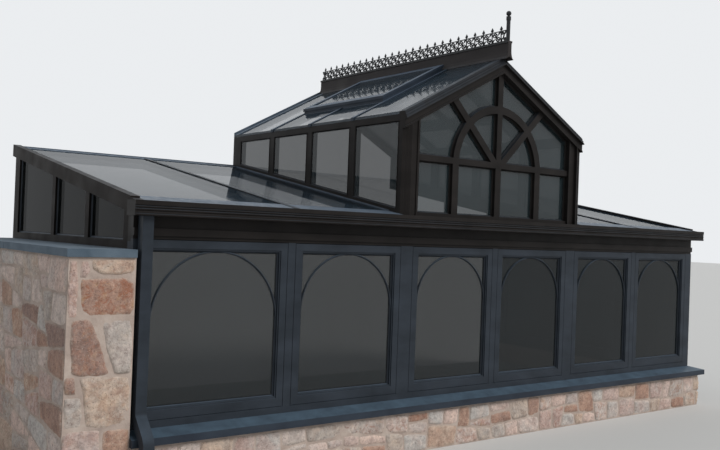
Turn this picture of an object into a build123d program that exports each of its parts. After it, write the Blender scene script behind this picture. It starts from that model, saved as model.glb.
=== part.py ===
"""Lean-to glass conservatory with a raised centre gable, on a stone knee wall.

Working frame: X runs along the front from the left face of the frame, Y runs from the
front face of the posts towards the house wall, Z runs up from the ground. Millimetres.
Each node is moved at the end so that the origin is under the middle of the whole part.
"""
import os
from math import acos, cos, pi, radians, sin, tan

from build123d import *

# Front: sashes in three pairs, read from left to right
SASH_WIDTHS = [1207, 1090, 1007, 1007, 1000, 1000]
CORNER_LEFT = 75
CORNER_RIGHT = 121
MULLION_GAP = 78
POST_GAP = 145
SASH_CLEARANCE = 4
SASH_HEIGHT = 1287
SASH_DEPTH = 45
SASH_STILE = 72
SASH_BOTTOM_RAIL = 80
REBATE_WIDTH = 12
REBATE_DEPTH = 8
FRONT_GLASS = 12
GLASS_SETBACK = 31
STOP = 20
FRAME_DEPTH = 100
DEPTH = 3060

# Heights, from the ground up
NOSE_BOTTOM = 365
NOSE_THICKNESS = 55
SILL_RISE = 37
BOTTOM_RAIL = 52
COPING_DROP = 70
FLOOR_THICKNESS = 100

# Stonework
STONE_FACE = 85
END_WALL_WIDTH = 465
END_WALL_GAP = 8
PIER_FACE = 95
COPING_THICKNESS = 56
COPING_OVERHANG = 18
COPING_JOINT = 6
COPING_JOINT_Y = 1450
SILL_PROJECTION = 140

# Header and gutter
HEADER_STEP = 24
HEADER_BAND = 55
HEADER_BAND_PROUD = 12
HEADER_FACE = 5
SOFFIT_ZONE = 84
GUTTER_HEIGHT = 108
GUTTER_DEPTH = 150
GUTTER_WALL = 6
GUTTER_OVERHANG_LEFT = 52
GUTTER_OVERHANG_RIGHT = 14
GUTTER_FILLET = 34
GUTTER_GROOVE = 4
BAND_PROUD = 6
REED_RADIUS = 8
REED_COUNT = 2
REED_GAP = 2
BEAD_RADIUS = 9
HALF_ROUND_STEPS = 6
OUTLET = 50

# Downspout
SPOUT_WIDTH = 82
SPOUT_DEPTH = 80
SPOUT_X = 28
SPOUT_WALL = 3
SPOUT_STANDOFF = 35
SPOUT_JOG_RISE = 106
SPOUT_JOG_HEIGHT = 155
SPOUT_BEND = 80
SPOUT_FOOT = 30
SPOUT_CLEARANCE = 2

# Lean-to roofs
EAVE_RISE = 7
ROOF_SLOPE = 0.18
GLASS = 24
EAVE_GLASS_OVERHANG = 60
RAFTER_WIDTH = 50
RAFTER_DEPTH = 90
RAFTER_WEB = 16
CAP_WIDTH = 44
CAP_THICKNESS = 8
RAKE_BEAM_WIDTH = 80
RAKE_BEAM_DEPTH = 115
RAKE_OVERHANG = 30
RAKE_CAP = 22
RAKE_NOSE = 78
RAKE_NOSE_CAP = 9
PLATE_DEPTH = 60
FLASHING_THICKNESS = 5
FLASHING_HEIGHT = 110
FLASHING_DEPTH = 90
EAVE_FLASHING_DEPTH = 145
KERB_FLASHING_WIDTH = 10
KERB_FLASHING_HEIGHT = 12

# End frames
END_POST = 85
END_BACK_POST = 150
END_RAIL = 60
END_FRAME = 80
END_MULLION_AT = [960, 1820]
END_TRANSOM_DROP = 16

# Centre gable
GABLE_HALF = 1219
CLERESTORY_RISE = 910
CLERESTORY_WIDTH = 70
CLERESTORY_POST = 90
CLERESTORY_END_POST = 170
CLERESTORY_BAYS = 4
CLERESTORY_GLASS_BACK = 6
KERB_UP = 38
EAVE_BEAM = 56
GABLE_PITCH = 28.3
GABLE_RAFTER_DEPTH = 70
GABLE_RAFTER_WIDTH = 50
RIDGE_BEAM_HALF = 30
RIDGE_RISE = 150
RIDGE_HALF = 22
RIDGE_UPRIGHT = 85
RIDGE_SKIRT = 52
RIDGE_SKIRT_EDGE = 6
RIDGE_SKIRT_STEPS = 4
RIDGE_LIP = 8
RIDGE_LIP_HEIGHT = 18
RIDGE_FRONT = 95
VERGE_WIDTH = 154
TRIM_DEPTH = 55
PILASTER_WIDTH = 190
PILASTER_SETBACK = 20
GABLE_SILL = 28
TRANSOM_RISE = 493
TRANSOM_HEIGHT = 57
ARCH_OUTER = 600
ARCH_WIDTH = 72
GABLE_BAR = 76
RADIAL_BAR = 66
GABLE_BAR_DEPTH = 100
GABLE_GLASS_BACK = 40

# Rake trim moulding: distance from its outer edge, and how far it stands proud
MOULDING = [
    (0, 20),
    (20, 34),
    (23, 30),
    (42, 46),
    (45, 42),
    (66, 58),
    (72, 58),
    (74, 30),
    (136, 30),
    (136, 38),
    (VERGE_WIDTH, 38),
]

# Roof vents
VENT_FROM_EAVE = 373
VENT_HEIGHT = 66
VENT_LID = 30
VENT_INSET = 10
VENT_FRAME = 70
VENT_SIDE_GAP = 25
VENT_TOP_GAP = 5
VENT_GLASS_DROP = 10

# Cresting and finial
CREST_HEIGHT = 165
CREST_THICKNESS = 8
CREST_BASE = 14
CREST_RAIL = 7
CREST_RAIL_RISE = 112
CREST_SPEARS = 26
CREST_FIRST = 26
CREST_END_GAP = 60
CREST_STEM = 9
CREST_HEAD_WIDTH = 33
CREST_HEAD_HEIGHT = 44
CREST_HEAD_SHOULDER = 27
CREST_RING = 27
CREST_UPPER_RING = 22
CREST_BAR = 8
CREST_RING_SIDES = 8
CREST_OVERLAP = 2
FINIAL_HEIGHT = 293
FINIAL_BACK = 30
FINIAL_SHAFT = 19
FINIAL_SHAFT_HEIGHT = 204
FINIAL_COLLAR = 23
FINIAL_COLLAR_HEIGHT = 34
FINIAL_NECK = 12
FINIAL_BALL = 25
FINIAL_BALL_STEPS = 7

# Derived places
SILL_TOP = NOSE_BOTTOM + NOSE_THICKNESS + SILL_RISE
RAIL_TOP = SILL_TOP + BOTTOM_RAIL
SASH_BOTTOM = RAIL_TOP + SASH_CLEARANCE
SASH_TOP = SASH_BOTTOM + SASH_HEIGHT
HEADER_BOTTOM = SASH_TOP + SASH_CLEARANCE
GUTTER_BOTTOM = HEADER_BOTTOM + HEADER_STEP + HEADER_BAND + SOFFIT_ZONE
GUTTER_TOP = GUTTER_BOTTOM + GUTTER_HEIGHT
GUTTER_FACE = -GUTTER_DEPTH + BEAD_RADIUS
COPING_TOP = SASH_TOP - COPING_DROP
END_TRANSOM_Z = SASH_TOP - END_TRANSOM_DROP
ROOF_RISE_AT_FRONT = GUTTER_TOP + EAVE_RISE
TRANSOM_BOTTOM = ROOF_RISE_AT_FRONT + TRANSOM_RISE
EAVE_TOP = ROOF_RISE_AT_FRONT + CLERESTORY_RISE
PITCH = tan(radians(GABLE_PITCH))
RIDGE_TOP = EAVE_TOP + PITCH * GABLE_HALF + RIDGE_RISE
FINIAL_Y = -RIDGE_FRONT + FINIAL_BACK


def sash_spans():
    """Left and right edge of each sash, from the left corner."""
    spans = []
    x = CORNER_LEFT
    for index, width in enumerate(SASH_WIDTHS):
        spans.append((x, x + width))
        x += width + (MULLION_GAP if index % 2 == 0 else POST_GAP)
    return spans


SASHES = sash_spans()
LENGTH = SASHES[-1][1] + CORNER_RIGHT
MID = (SASHES[2][0] + SASHES[3][1]) / 2
EAVE_LEFT = MID - GABLE_HALF
EAVE_RIGHT = MID + GABLE_HALF
CLERESTORY_IN = EAVE_LEFT + CLERESTORY_WIDTH
GABLE_INNER = EAVE_LEFT + PILASTER_WIDTH

# Ends of the whole part, which set its origin
X_LOW = -END_WALL_GAP - END_WALL_WIDTH - COPING_OVERHANG
X_HIGH = LENGTH + SILL_PROJECTION
Y_LOW = -SILL_PROJECTION - SPOUT_STANDOFF - SPOUT_DEPTH
Y_HIGH = DEPTH
CENTRE_X = (X_LOW + X_HIGH) / 2
CENTRE_Y = (Y_LOW + Y_HIGH) / 2


def block(x0, x1, y0, y1, z0, z1):
    """A plain box between two corners."""
    return Pos((x0 + x1) / 2, (y0 + y1) / 2, (z0 + z1) / 2) * Box(x1 - x0, y1 - y0, z1 - z0)


def along_x(outline, x0, x1):
    """Extrude an outline of (y, z) points from x0 to x1."""
    plane = Plane(origin=(x0, 0, 0), x_dir=(0, 1, 0), z_dir=(1, 0, 0))
    return extrude(plane * make_face(Polyline(*outline, close=True)), amount=x1 - x0)


def along_y(outline, y0, y1):
    """Extrude an outline of (x, z) points from y0 to y1."""
    plane = Plane(origin=(0, y1, 0), x_dir=(1, 0, 0), z_dir=(0, -1, 0))
    return extrude(plane * make_face(Polyline(*outline, close=True)), amount=y1 - y0)


def along_z(outline, z0, z1):
    """Extrude an outline of (x, y) points from z0 to z1."""
    face = make_face(Polyline(*outline, close=True))
    return Pos(0, 0, z0) * extrude(face, amount=z1 - z0)


def roof_z(y):
    """Height of the lean-to glass's upper face at y."""
    return ROOF_RISE_AT_FRONT + ROOF_SLOPE * y


def sloped(x0, x1, y0, y1, low, high):
    """A bar that follows the lean-to roof, between two offsets from its glass."""
    outline = [
        (y0, roof_z(y0) + low),
        (y1, roof_z(y1) + low),
        (y1, roof_z(y1) + high),
        (y0, roof_z(y0) + high),
    ]
    return along_x(outline, x0, x1)


def gable_z(x):
    """Height of the left gable roof's upper face at x."""
    return EAVE_TOP + PITCH * (x - EAVE_LEFT)


def raked(x0, x1, y0, y1, low, high):
    """A bar that follows the left gable roof, between two offsets from its glass."""
    outline = [
        (x0, gable_z(x0) + low),
        (x1, gable_z(x1) + low),
        (x1, gable_z(x1) + high),
        (x0, gable_z(x0) + high),
    ]
    return along_y(outline, y0, y1)


def mirrored(shape):
    """The same shape on the other side of the gable."""
    return mirror(shape, about=Plane.YZ.offset(MID))


# Stone base


def floor_slab():
    return block(FRAME_DEPTH, LENGTH - FRAME_DEPTH, FRAME_DEPTH, DEPTH, 0, FLOOR_THICKNESS)


def knee_wall_front():
    return block(-END_WALL_GAP, LENGTH + STONE_FACE, -STONE_FACE, FRAME_DEPTH, 0, NOSE_BOTTOM)


def knee_wall_right():
    return block(LENGTH - FRAME_DEPTH, LENGTH + STONE_FACE, FRAME_DEPTH, DEPTH, 0, NOSE_BOTTOM)


def end_wall_outline(front, outer, inner):
    return [
        (outer, front),
        (-END_WALL_GAP, front),
        (-END_WALL_GAP, FRAME_DEPTH),
        (inner, FRAME_DEPTH),
        (inner, DEPTH),
        (outer, DEPTH),
    ]


def end_wall_left():
    outer = -END_WALL_GAP - END_WALL_WIDTH
    outline = end_wall_outline(-PIER_FACE, outer, FRAME_DEPTH)
    return along_z(outline, 0, COPING_TOP - COPING_THICKNESS)


def coping_left():
    outer = -END_WALL_GAP - END_WALL_WIDTH - COPING_OVERHANG
    outline = end_wall_outline(-PIER_FACE - COPING_OVERHANG, outer, FRAME_DEPTH)
    slab = along_z(outline, COPING_TOP - COPING_THICKNESS, COPING_TOP)
    joint = block(outer, FRAME_DEPTH, COPING_JOINT_Y, COPING_JOINT_Y + COPING_JOINT, 0, COPING_TOP)
    return slab - joint


# Sill


def sill_outline(inner, outer):
    """Profile of the sloped sill across the wall, from its inner to its outer edge."""
    step = 1 if outer > inner else -1
    face = outer - step * SILL_PROJECTION
    return [
        (inner, NOSE_BOTTOM),
        (outer, NOSE_BOTTOM),
        (outer, NOSE_BOTTOM + NOSE_THICKNESS),
        (face, SILL_TOP),
        (inner, SILL_TOP),
    ]


def sill_mitre():
    """Plan of the part of the right corner that belongs to the front sill."""
    return along_z(
        [
            (-END_WALL_GAP, -SILL_PROJECTION),
            (LENGTH + SILL_PROJECTION, -SILL_PROJECTION),
            (LENGTH - FRAME_DEPTH, FRAME_DEPTH),
            (-END_WALL_GAP, FRAME_DEPTH),
        ],
        NOSE_BOTTOM,
        SILL_TOP,
    )


def sill_front():
    profile = sill_outline(FRAME_DEPTH, -SILL_PROJECTION)
    return along_x(profile, -END_WALL_GAP, LENGTH + SILL_PROJECTION) & sill_mitre()


def sill_right():
    profile = sill_outline(LENGTH - FRAME_DEPTH, LENGTH + SILL_PROJECTION)
    return along_y(profile, -SILL_PROJECTION, DEPTH) - sill_mitre()


# Front frame


def bottom_rail():
    outline = [
        (0, SILL_TOP),
        (FRAME_DEPTH, SILL_TOP),
        (FRAME_DEPTH, RAIL_TOP + STOP),
        (SASH_DEPTH, RAIL_TOP + STOP),
        (SASH_DEPTH, RAIL_TOP),
        (0, RAIL_TOP),
    ]
    return along_x(outline, 0, LENGTH)


def upright(x0, x1, wing_left, wing_right):
    """A post with a stop behind the sash on one or both sides."""
    front = block(x0, x1, 0, SASH_DEPTH, RAIL_TOP, HEADER_BOTTOM)
    back = block(
        x0 - wing_left,
        x1 + wing_right,
        SASH_DEPTH,
        FRAME_DEPTH,
        RAIL_TOP + STOP,
        HEADER_BOTTOM - STOP,
    )
    return front + back


def between(index):
    """The upright between two neighbouring sashes."""
    x0 = SASHES[index][1] + SASH_CLEARANCE
    x1 = SASHES[index + 1][0] - SASH_CLEARANCE
    wing = STOP + SASH_CLEARANCE
    return upright(x0, x1, wing, wing)


def corner_post_left():
    return upright(0, CORNER_LEFT - SASH_CLEARANCE, 0, STOP + SASH_CLEARANCE)


def corner_post_right():
    return upright(SASHES[-1][1] + SASH_CLEARANCE, LENGTH, STOP + SASH_CLEARANCE, 0)


def front_posts():
    return Compound([between(1), between(3)])


def front_mullions():
    return Compound([between(0), between(2), between(4)])


def header_beam():
    step_top = HEADER_BOTTOM + HEADER_STEP
    band_top = step_top + HEADER_BAND
    outline = [
        (HEADER_FACE, HEADER_BOTTOM),
        (SASH_DEPTH, HEADER_BOTTOM),
        (SASH_DEPTH, HEADER_BOTTOM - STOP),
        (FRAME_DEPTH, HEADER_BOTTOM - STOP),
        (FRAME_DEPTH, roof_z(FRAME_DEPTH) - GLASS),
        (HEADER_FACE, roof_z(HEADER_FACE) - GLASS),
        (HEADER_FACE, band_top),
        (-HEADER_BAND_PROUD, band_top),
        (-HEADER_BAND_PROUD, step_top),
        (HEADER_FACE, step_top),
    ]
    return along_x(outline, 0, LENGTH)


def sash_opening(span):
    """The opening inside one sash."""
    return (
        span[0] + SASH_STILE,
        span[1] - SASH_STILE,
        SASH_BOTTOM + SASH_BOTTOM_RAIL,
        SASH_TOP - SASH_STILE,
    )


def sash(span):
    """One sash, with a step round the front of its opening."""
    x0, x1, z0, z1 = sash_opening(span)
    frame = block(span[0], span[1], 0, SASH_DEPTH, SASH_BOTTOM, SASH_TOP)
    step = REBATE_WIDTH
    frame -= block(x0 - step, x1 + step, 0, REBATE_DEPTH, z0 - step, z1 + step)
    return frame - block(x0, x1, REBATE_DEPTH, SASH_DEPTH, z0, z1)


def front_glass():
    panes = []
    for span in SASHES:
        x0, x1, z0, z1 = sash_opening(span)
        panes.append(block(x0, x1, GLASS_SETBACK, GLASS_SETBACK + FRONT_GLASS, z0, z1))
    return Compound(panes)


# Gutter and downspout


def half_round(z, radius):
    """Points of a half-round on the gutter's face, from its upper to its lower edge."""
    points = []
    for step in range(HALF_ROUND_STEPS + 1):
        angle = pi * step / HALF_ROUND_STEPS
        points.append((GUTTER_FACE - radius * sin(angle), z + radius * cos(angle)))
    return points


def gutter_front():
    """Moulded front of the gutter, from its top to its bottom."""
    z = GUTTER_TOP - GUTTER_FILLET
    line = [(-GUTTER_DEPTH, GUTTER_TOP), (-GUTTER_DEPTH, z), (GUTTER_FACE, z)]
    z -= GUTTER_GROOVE
    for _ in range(REED_COUNT):
        line += half_round(z - REED_RADIUS, REED_RADIUS)
        z -= 2 * REED_RADIUS + REED_GAP
    z -= GUTTER_GROOVE - REED_GAP
    band = GUTTER_FACE - BAND_PROUD
    line += [(GUTTER_FACE, z), (band, z), (band, GUTTER_BOTTOM + 2 * BEAD_RADIUS)]
    return line + half_round(GUTTER_BOTTOM + BEAD_RADIUS, BEAD_RADIUS)


def spout_outline(shrink):
    """Corners of the downspout in plan at its head, drawn in by a distance."""
    back = -HEADER_BAND_PROUD - SPOUT_CLEARANCE
    return (
        SPOUT_X + shrink,
        SPOUT_X + SPOUT_WIDTH - shrink,
        back - SPOUT_DEPTH + shrink,
        back - shrink,
    )


def gutter():
    """Moulded trough with boxed ends and an outlet over the downspout."""
    back = HEADER_FACE
    inner_back = back - GUTTER_WALL
    inner_front = GUTTER_FACE + GUTTER_WALL
    floor = GUTTER_BOTTOM + GUTTER_WALL
    back_top = roof_z(back) - GLASS - GUTTER_WALL
    trough = gutter_front() + [
        (back, GUTTER_BOTTOM),
        (back, back_top),
        (inner_back, back_top),
        (inner_back, floor),
        (inner_front, floor),
        (inner_front, GUTTER_TOP),
    ]
    end = gutter_front() + [(back, GUTTER_BOTTOM), (back, GUTTER_TOP)]
    x0 = -GUTTER_OVERHANG_LEFT
    x1 = LENGTH + GUTTER_OVERHANG_RIGHT
    body = along_x(trough, x0, x1)
    body += along_x(end, x0, x0 + GUTTER_WALL)
    body += along_x(end, x1 - GUTTER_WALL, x1)
    sx0, sx1, sy0, sy1 = spout_outline((SPOUT_DEPTH - OUTLET) / 2)
    return body - block(sx0, sx1, sy0, sy1, GUTTER_BOTTOM, floor)


def spout_tube(shrink):
    """The downspout's run with its two rounded bends, drawn in by a distance."""
    x0, x1, y0, y1 = spout_outline(shrink)
    head = (y0 + y1) / 2
    foot = Y_LOW + SPOUT_DEPTH / 2
    jog_top = SILL_TOP + SPOUT_JOG_RISE
    jog_bottom = jog_top - SPOUT_JOG_HEIGHT
    line = FilletPolyline(
        (head, GUTTER_BOTTOM),
        (head, jog_top),
        (foot, jog_bottom),
        (foot, SPOUT_FOOT),
        radius=SPOUT_BEND,
    )
    plane = Plane(origin=(x0, 0, 0), x_dir=(0, 1, 0), z_dir=(1, 0, 0))
    return extrude(plane * trace(line, y1 - y0), amount=x1 - x0)


def downspout():
    return spout_tube(0) - spout_tube(SPOUT_WALL)


# End walls of glass


def end_uprights():
    """Front and back edge of each upright of an end frame, front to back."""
    half = END_POST / 2
    uprights = [(FRAME_DEPTH, FRAME_DEPTH + END_POST)]
    for y in END_MULLION_AT:
        uprights.append((y - half, y + half))
    uprights.append((DEPTH - END_BACK_POST, DEPTH))
    return uprights


def rake_underside(y):
    return roof_z(y) + RAKE_CAP - RAKE_BEAM_DEPTH


def under_rake(x0, x1, y0, y1, z0):
    """A piece from z0 up to the underside of the rake beam."""
    outline = [(y0, z0), (y1, z0), (y1, rake_underside(y1)), (y0, rake_underside(y0))]
    return along_x(outline, x0, x1)


def end_frame(x0, base, rails):
    """Uprights, a base rail and any further rails, joined into one frame."""
    x1 = x0 + END_FRAME
    frame = block(x0, x1, FRAME_DEPTH, DEPTH, base, base + END_RAIL)
    for y0, y1 in end_uprights():
        frame += under_rake(x0, x1, y0, y1, base)
    for z in rails:
        frame += block(x0, x1, FRAME_DEPTH, DEPTH, z, z + END_RAIL)
    return frame


def end_panes(x0, base, top):
    """Panes between the uprights, up to a rail or to the rake beam."""
    y_pairs = []
    uprights = end_uprights()
    for first, second in zip(uprights, uprights[1:]):
        y_pairs.append((first[1], second[0]))
    g0 = x0 + END_FRAME / 2 - GLASS / 2
    panes = []
    for y0, y1 in y_pairs:
        if top is None:
            panes.append(under_rake(g0, g0 + GLASS, y0, y1, base))
        else:
            panes.append(block(g0, g0 + GLASS, y0, y1, base, top))
    return Compound(panes)


def left_end_frame():
    return end_frame(0, COPING_TOP, [])


def left_end_glass():
    return end_panes(0, COPING_TOP + END_RAIL, None)


def right_end_frame():
    return end_frame(LENGTH - END_FRAME, SILL_TOP, [END_TRANSOM_Z])


def right_end_glass_lower():
    return end_panes(LENGTH - END_FRAME, SILL_TOP + END_RAIL, END_TRANSOM_Z)


def right_end_glass_upper():
    return end_panes(LENGTH - END_FRAME, END_TRANSOM_Z + END_RAIL, None)


def rake_beam(nose_start):
    """Deep rake beam: its top stands proud of the glass, which rests on its inner ledge."""
    low = RAKE_CAP - RAKE_BEAM_DEPTH
    inner = RAKE_BEAM_WIDTH
    ledge = inner / 2
    beam = sloped(-RAKE_OVERHANG, inner, FRAME_DEPTH, DEPTH, low, -GLASS)
    beam += sloped(-RAKE_OVERHANG, ledge, HEADER_FACE, DEPTH, -GLASS, RAKE_CAP)
    beam += sloped(-RAKE_OVERHANG, 0, HEADER_FACE, FRAME_DEPTH, low, -GLASS)
    beam += sloped(nose_start, ledge, -RAKE_NOSE, HEADER_FACE, -GLASS, RAKE_NOSE_CAP)
    return beam


def rake_beam_left():
    return rake_beam(-RAKE_OVERHANG)


def rake_beam_right():
    """The same beam at the right end; its nose stays inside the gutter's end."""
    return mirror(rake_beam(0), about=Plane.YZ.offset(LENGTH / 2))


# Lean-to roofs


def wall_plate(x0, x1):
    return sloped(x0, x1, DEPTH - PLATE_DEPTH, DEPTH, -GLASS - RAFTER_DEPTH, -GLASS)


def lean_to_bar(x):
    """One rafter with the web between two panes and the cap over them."""
    half = RAFTER_WIDTH / 2
    web = RAFTER_WEB / 2
    cap = CAP_WIDTH / 2
    front = -EAVE_GLASS_OVERHANG
    bar = sloped(x - half, x + half, FRAME_DEPTH, DEPTH - PLATE_DEPTH, -GLASS - RAFTER_DEPTH, -GLASS)
    bar += sloped(x - web, x + web, front, DEPTH - FLASHING_THICKNESS, -GLASS, 0)
    bar += sloped(x - cap, x + cap, front, DEPTH - FLASHING_DEPTH, 0, CAP_THICKNESS)
    return bar


def lean_to_glass():
    """Two panes on each side of the gable."""
    web = RAFTER_WEB / 2
    ledge = RAKE_BEAM_WIDTH / 2
    edges = [
        (ledge, bar_left_x() - web),
        (bar_left_x() + web, EAVE_LEFT),
        (EAVE_RIGHT, bar_right_x() - web),
        (bar_right_x() + web, LENGTH - ledge),
    ]
    panes = []
    for x0, x1 in edges:
        panes.append(sloped(x0, x1, -EAVE_GLASS_OVERHANG, DEPTH - FLASHING_THICKNESS, -GLASS, 0))
    return Compound(panes)


def bar_left_x():
    return (SASHES[0][1] + SASHES[1][0]) / 2


def bar_right_x():
    return (SASHES[4][1] + SASHES[5][0]) / 2


def wall_flashing(x0, x1):
    """Upstand against the house wall with an apron over the glass."""
    y0 = DEPTH - FLASHING_DEPTH
    y1 = DEPTH - FLASHING_THICKNESS
    outline = [
        (y0, roof_z(y0)),
        (y1, roof_z(y1)),
        (y1, roof_z(y1) - GLASS),
        (DEPTH, roof_z(DEPTH) - GLASS),
        (DEPTH, roof_z(DEPTH) + FLASHING_HEIGHT),
        (y1, roof_z(DEPTH) + FLASHING_HEIGHT),
        (y1, roof_z(y1) + FLASHING_THICKNESS),
        (y0, roof_z(y0) + FLASHING_THICKNESS),
    ]
    return along_x(outline, x0, x1)


def gable_flashing():
    """The same along the back edge of the left gable slope, up to the ridge."""
    y1 = DEPTH - FLASHING_THICKNESS
    apron = raked(EAVE_LEFT, MID, DEPTH - FLASHING_DEPTH, y1, 0, FLASHING_THICKNESS)
    upstand = raked(EAVE_LEFT, MID, y1, DEPTH, -GLASS, FLASHING_HEIGHT)
    return apron + upstand - ridge_cap() - ridge_beam()


def wall_flashings():
    ledge = RAKE_BEAM_WIDTH / 2
    gable = gable_flashing()
    left = wall_flashing(ledge, EAVE_LEFT)
    right = wall_flashing(EAVE_RIGHT, LENGTH - ledge)
    return Compound([left, right, gable, mirrored(gable)])


def eave_flashings():
    """Strips over the lower edges of the lean-to panes and along each clerestory's foot."""
    cap = CAP_WIDTH / 2
    ledge = RAKE_BEAM_WIDTH / 2
    front = -EAVE_GLASS_OVERHANG
    back = EAVE_FLASHING_DEPTH
    spans = [
        (ledge, bar_left_x() - cap),
        (bar_left_x() + cap, EAVE_LEFT),
        (EAVE_RIGHT, bar_right_x() - cap),
        (bar_right_x() + cap, LENGTH - ledge),
    ]
    strips = [sloped(x0, x1, front, back, 0, FLASHING_THICKNESS) for x0, x1 in spans]
    foot_end = DEPTH - FLASHING_DEPTH
    foot = sloped(EAVE_LEFT - KERB_FLASHING_WIDTH, EAVE_LEFT, back, foot_end, 0, KERB_FLASHING_HEIGHT)
    strips[1] += foot
    strips[2] += mirrored(foot)
    return Compound(strips)


# Clerestory walls of the gable


def clerestory_posts_at():
    """Front and back edge of each clerestory post, behind the corner post of the gable."""
    posts = CLERESTORY_BAYS - 1
    free = DEPTH - CLERESTORY_END_POST - TRIM_DEPTH - posts * CLERESTORY_POST
    bay = free / CLERESTORY_BAYS
    edges = []
    y = TRIM_DEPTH
    for _ in range(posts):
        edges.append((y + bay, y + bay + CLERESTORY_POST))
        y += bay + CLERESTORY_POST
    edges.append((DEPTH - CLERESTORY_END_POST, DEPTH))
    return edges


def clerestory_joints():
    """Middles of the three inner posts, where the roof panes above meet too."""
    return [(y0 + y1) / 2 for y0, y1 in clerestory_posts_at()[:-1]]


def clerestory_kerb():
    """Sloping beam under the clerestory, from the gable front to the house wall."""
    beam = sloped(EAVE_LEFT, CLERESTORY_IN, FRAME_DEPTH, DEPTH, -GLASS - RAFTER_DEPTH, -GLASS)
    return beam + sloped(EAVE_LEFT, CLERESTORY_IN, TRIM_DEPTH, DEPTH, -GLASS, KERB_UP)


def clerestory_panel(x0, x1, y0, y1):
    """A part of the clerestory wall, from the kerb up to the eave beam."""
    top = EAVE_TOP - GLASS - EAVE_BEAM
    outline = [(y0, roof_z(y0) + KERB_UP), (y1, roof_z(y1) + KERB_UP), (y1, top), (y0, top)]
    return along_x(outline, x0, x1)


def clerestory_frame():
    low = EAVE_TOP - GLASS - EAVE_BEAM
    beam = [
        (EAVE_LEFT, low),
        (CLERESTORY_IN, low),
        (CLERESTORY_IN, gable_z(CLERESTORY_IN) - GLASS),
        (EAVE_LEFT, gable_z(EAVE_LEFT) - GLASS),
    ]
    frame = along_y(beam, TRIM_DEPTH, DEPTH)
    for y0, y1 in clerestory_posts_at():
        frame += clerestory_panel(EAVE_LEFT, CLERESTORY_IN, y0, y1)
    return frame


def clerestory_glass():
    x0 = EAVE_LEFT + CLERESTORY_GLASS_BACK
    panes = []
    start = TRIM_DEPTH
    for y0, y1 in clerestory_posts_at():
        panes.append(clerestory_panel(x0, x0 + GLASS, start, y0))
        start = y1
    return Compound(panes)


# Gable front


def pilaster():
    """Moulded corner post of the gable's left side, up to the rake trim."""
    scale = PILASTER_WIDTH / VERGE_WIDTH
    plan = [(EAVE_LEFT + scale * across, PILASTER_SETBACK - proud) for across, proud in MOULDING]
    plan += [
        (GABLE_INNER, FRAME_DEPTH),
        (CLERESTORY_IN, FRAME_DEPTH),
        (CLERESTORY_IN, TRIM_DEPTH),
        (EAVE_LEFT, TRIM_DEPTH),
    ]
    column = along_z(plan, GUTTER_BOTTOM, RIDGE_TOP)
    bounds = along_y(
        [
            (EAVE_LEFT, GUTTER_BOTTOM),
            (GABLE_INNER, GUTTER_BOTTOM),
            (GABLE_INNER, gable_z(GABLE_INNER) - VERGE_WIDTH),
            (EAVE_LEFT, gable_z(EAVE_LEFT) - VERGE_WIDTH),
        ],
        -GUTTER_DEPTH,
        FRAME_DEPTH,
    )
    foot = along_x(
        [
            (-GUTTER_DEPTH, GUTTER_BOTTOM),
            (FRAME_DEPTH, GUTTER_BOTTOM),
            (FRAME_DEPTH, roof_z(FRAME_DEPTH) - GLASS),
            (-GUTTER_DEPTH, roof_z(-GUTTER_DEPTH) - GLASS),
        ],
        EAVE_LEFT,
        GABLE_INNER,
    )
    return (column & bounds) - foot


def gable_corner_posts():
    left = pilaster()
    return Compound([left, mirrored(left)])


def gable_rake_trim():
    """Moulded trim along both slopes, mitred at the apex."""
    top = gable_z(EAVE_LEFT)
    outline = [(-proud, top - across) for across, proud in MOULDING]
    outline += [(TRIM_DEPTH, top - VERGE_WIDTH), (TRIM_DEPTH, top)]
    plane = Plane(origin=(EAVE_LEFT, 0, 0), x_dir=(0, 1, 0), z_dir=(1, 0, 0))
    face = plane * make_face(Polyline(*outline, close=True))
    slope = radians(GABLE_PITCH)
    half = extrude(face, amount=GABLE_HALF / cos(slope), dir=(cos(slope), 0, sin(slope)))
    return half + mirrored(half)


def gable_sill():
    outline = [
        (0, roof_z(0) - GLASS),
        (FRAME_DEPTH, roof_z(FRAME_DEPTH) - GLASS),
        (FRAME_DEPTH, roof_z(0) + GABLE_SILL),
        (0, roof_z(0) + GABLE_SILL),
    ]
    return along_x(outline, GABLE_INNER, 2 * MID - GABLE_INNER)


def gable_transom():
    top = TRANSOM_BOTTOM + TRANSOM_HEIGHT
    return block(GABLE_INNER, 2 * MID - GABLE_INNER, 0, GABLE_BAR_DEPTH, TRANSOM_BOTTOM, top)


def gable_mullions():
    low = roof_z(0) + GABLE_SILL
    half = GABLE_BAR / 2
    offset = ARCH_OUTER - ARCH_WIDTH / 2
    bars = []
    for x in (MID - offset, MID, MID + offset):
        bars.append(block(x - half, x + half, 0, GABLE_BAR_DEPTH, low, TRANSOM_BOTTOM))
    return Compound(bars)


def gable_light():
    """Outline of the glass above the transom, as a face in the XZ plane."""
    right = 2 * MID - GABLE_INNER
    low = TRANSOM_BOTTOM + TRANSOM_HEIGHT
    side = gable_z(GABLE_INNER) - VERGE_WIDTH
    apex = gable_z(MID) - VERGE_WIDTH
    outline = [(GABLE_INNER, low), (right, low), (right, side), (MID, apex), (GABLE_INNER, side)]
    return make_face(Polyline(*outline, close=True))


def fan_face():
    """Arch, two raking bars and the centre bar, clipped to the light above the transom."""
    centre = Pos(MID, TRANSOM_BOTTOM)
    reach = 2 * ARCH_OUTER
    fan = centre * (Circle(ARCH_OUTER) - Circle(ARCH_OUTER - ARCH_WIDTH))
    for angle in (45, 90, 135):
        fan += centre * Rot(0, 0, angle) * Pos(reach / 2, 0) * Rectangle(reach, RADIAL_BAR)
    return fan & gable_light()


def upright_plane(y):
    """The XZ plane at y, facing the viewer."""
    return Plane(origin=(0, y, 0), x_dir=(1, 0, 0), z_dir=(0, -1, 0))


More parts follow.
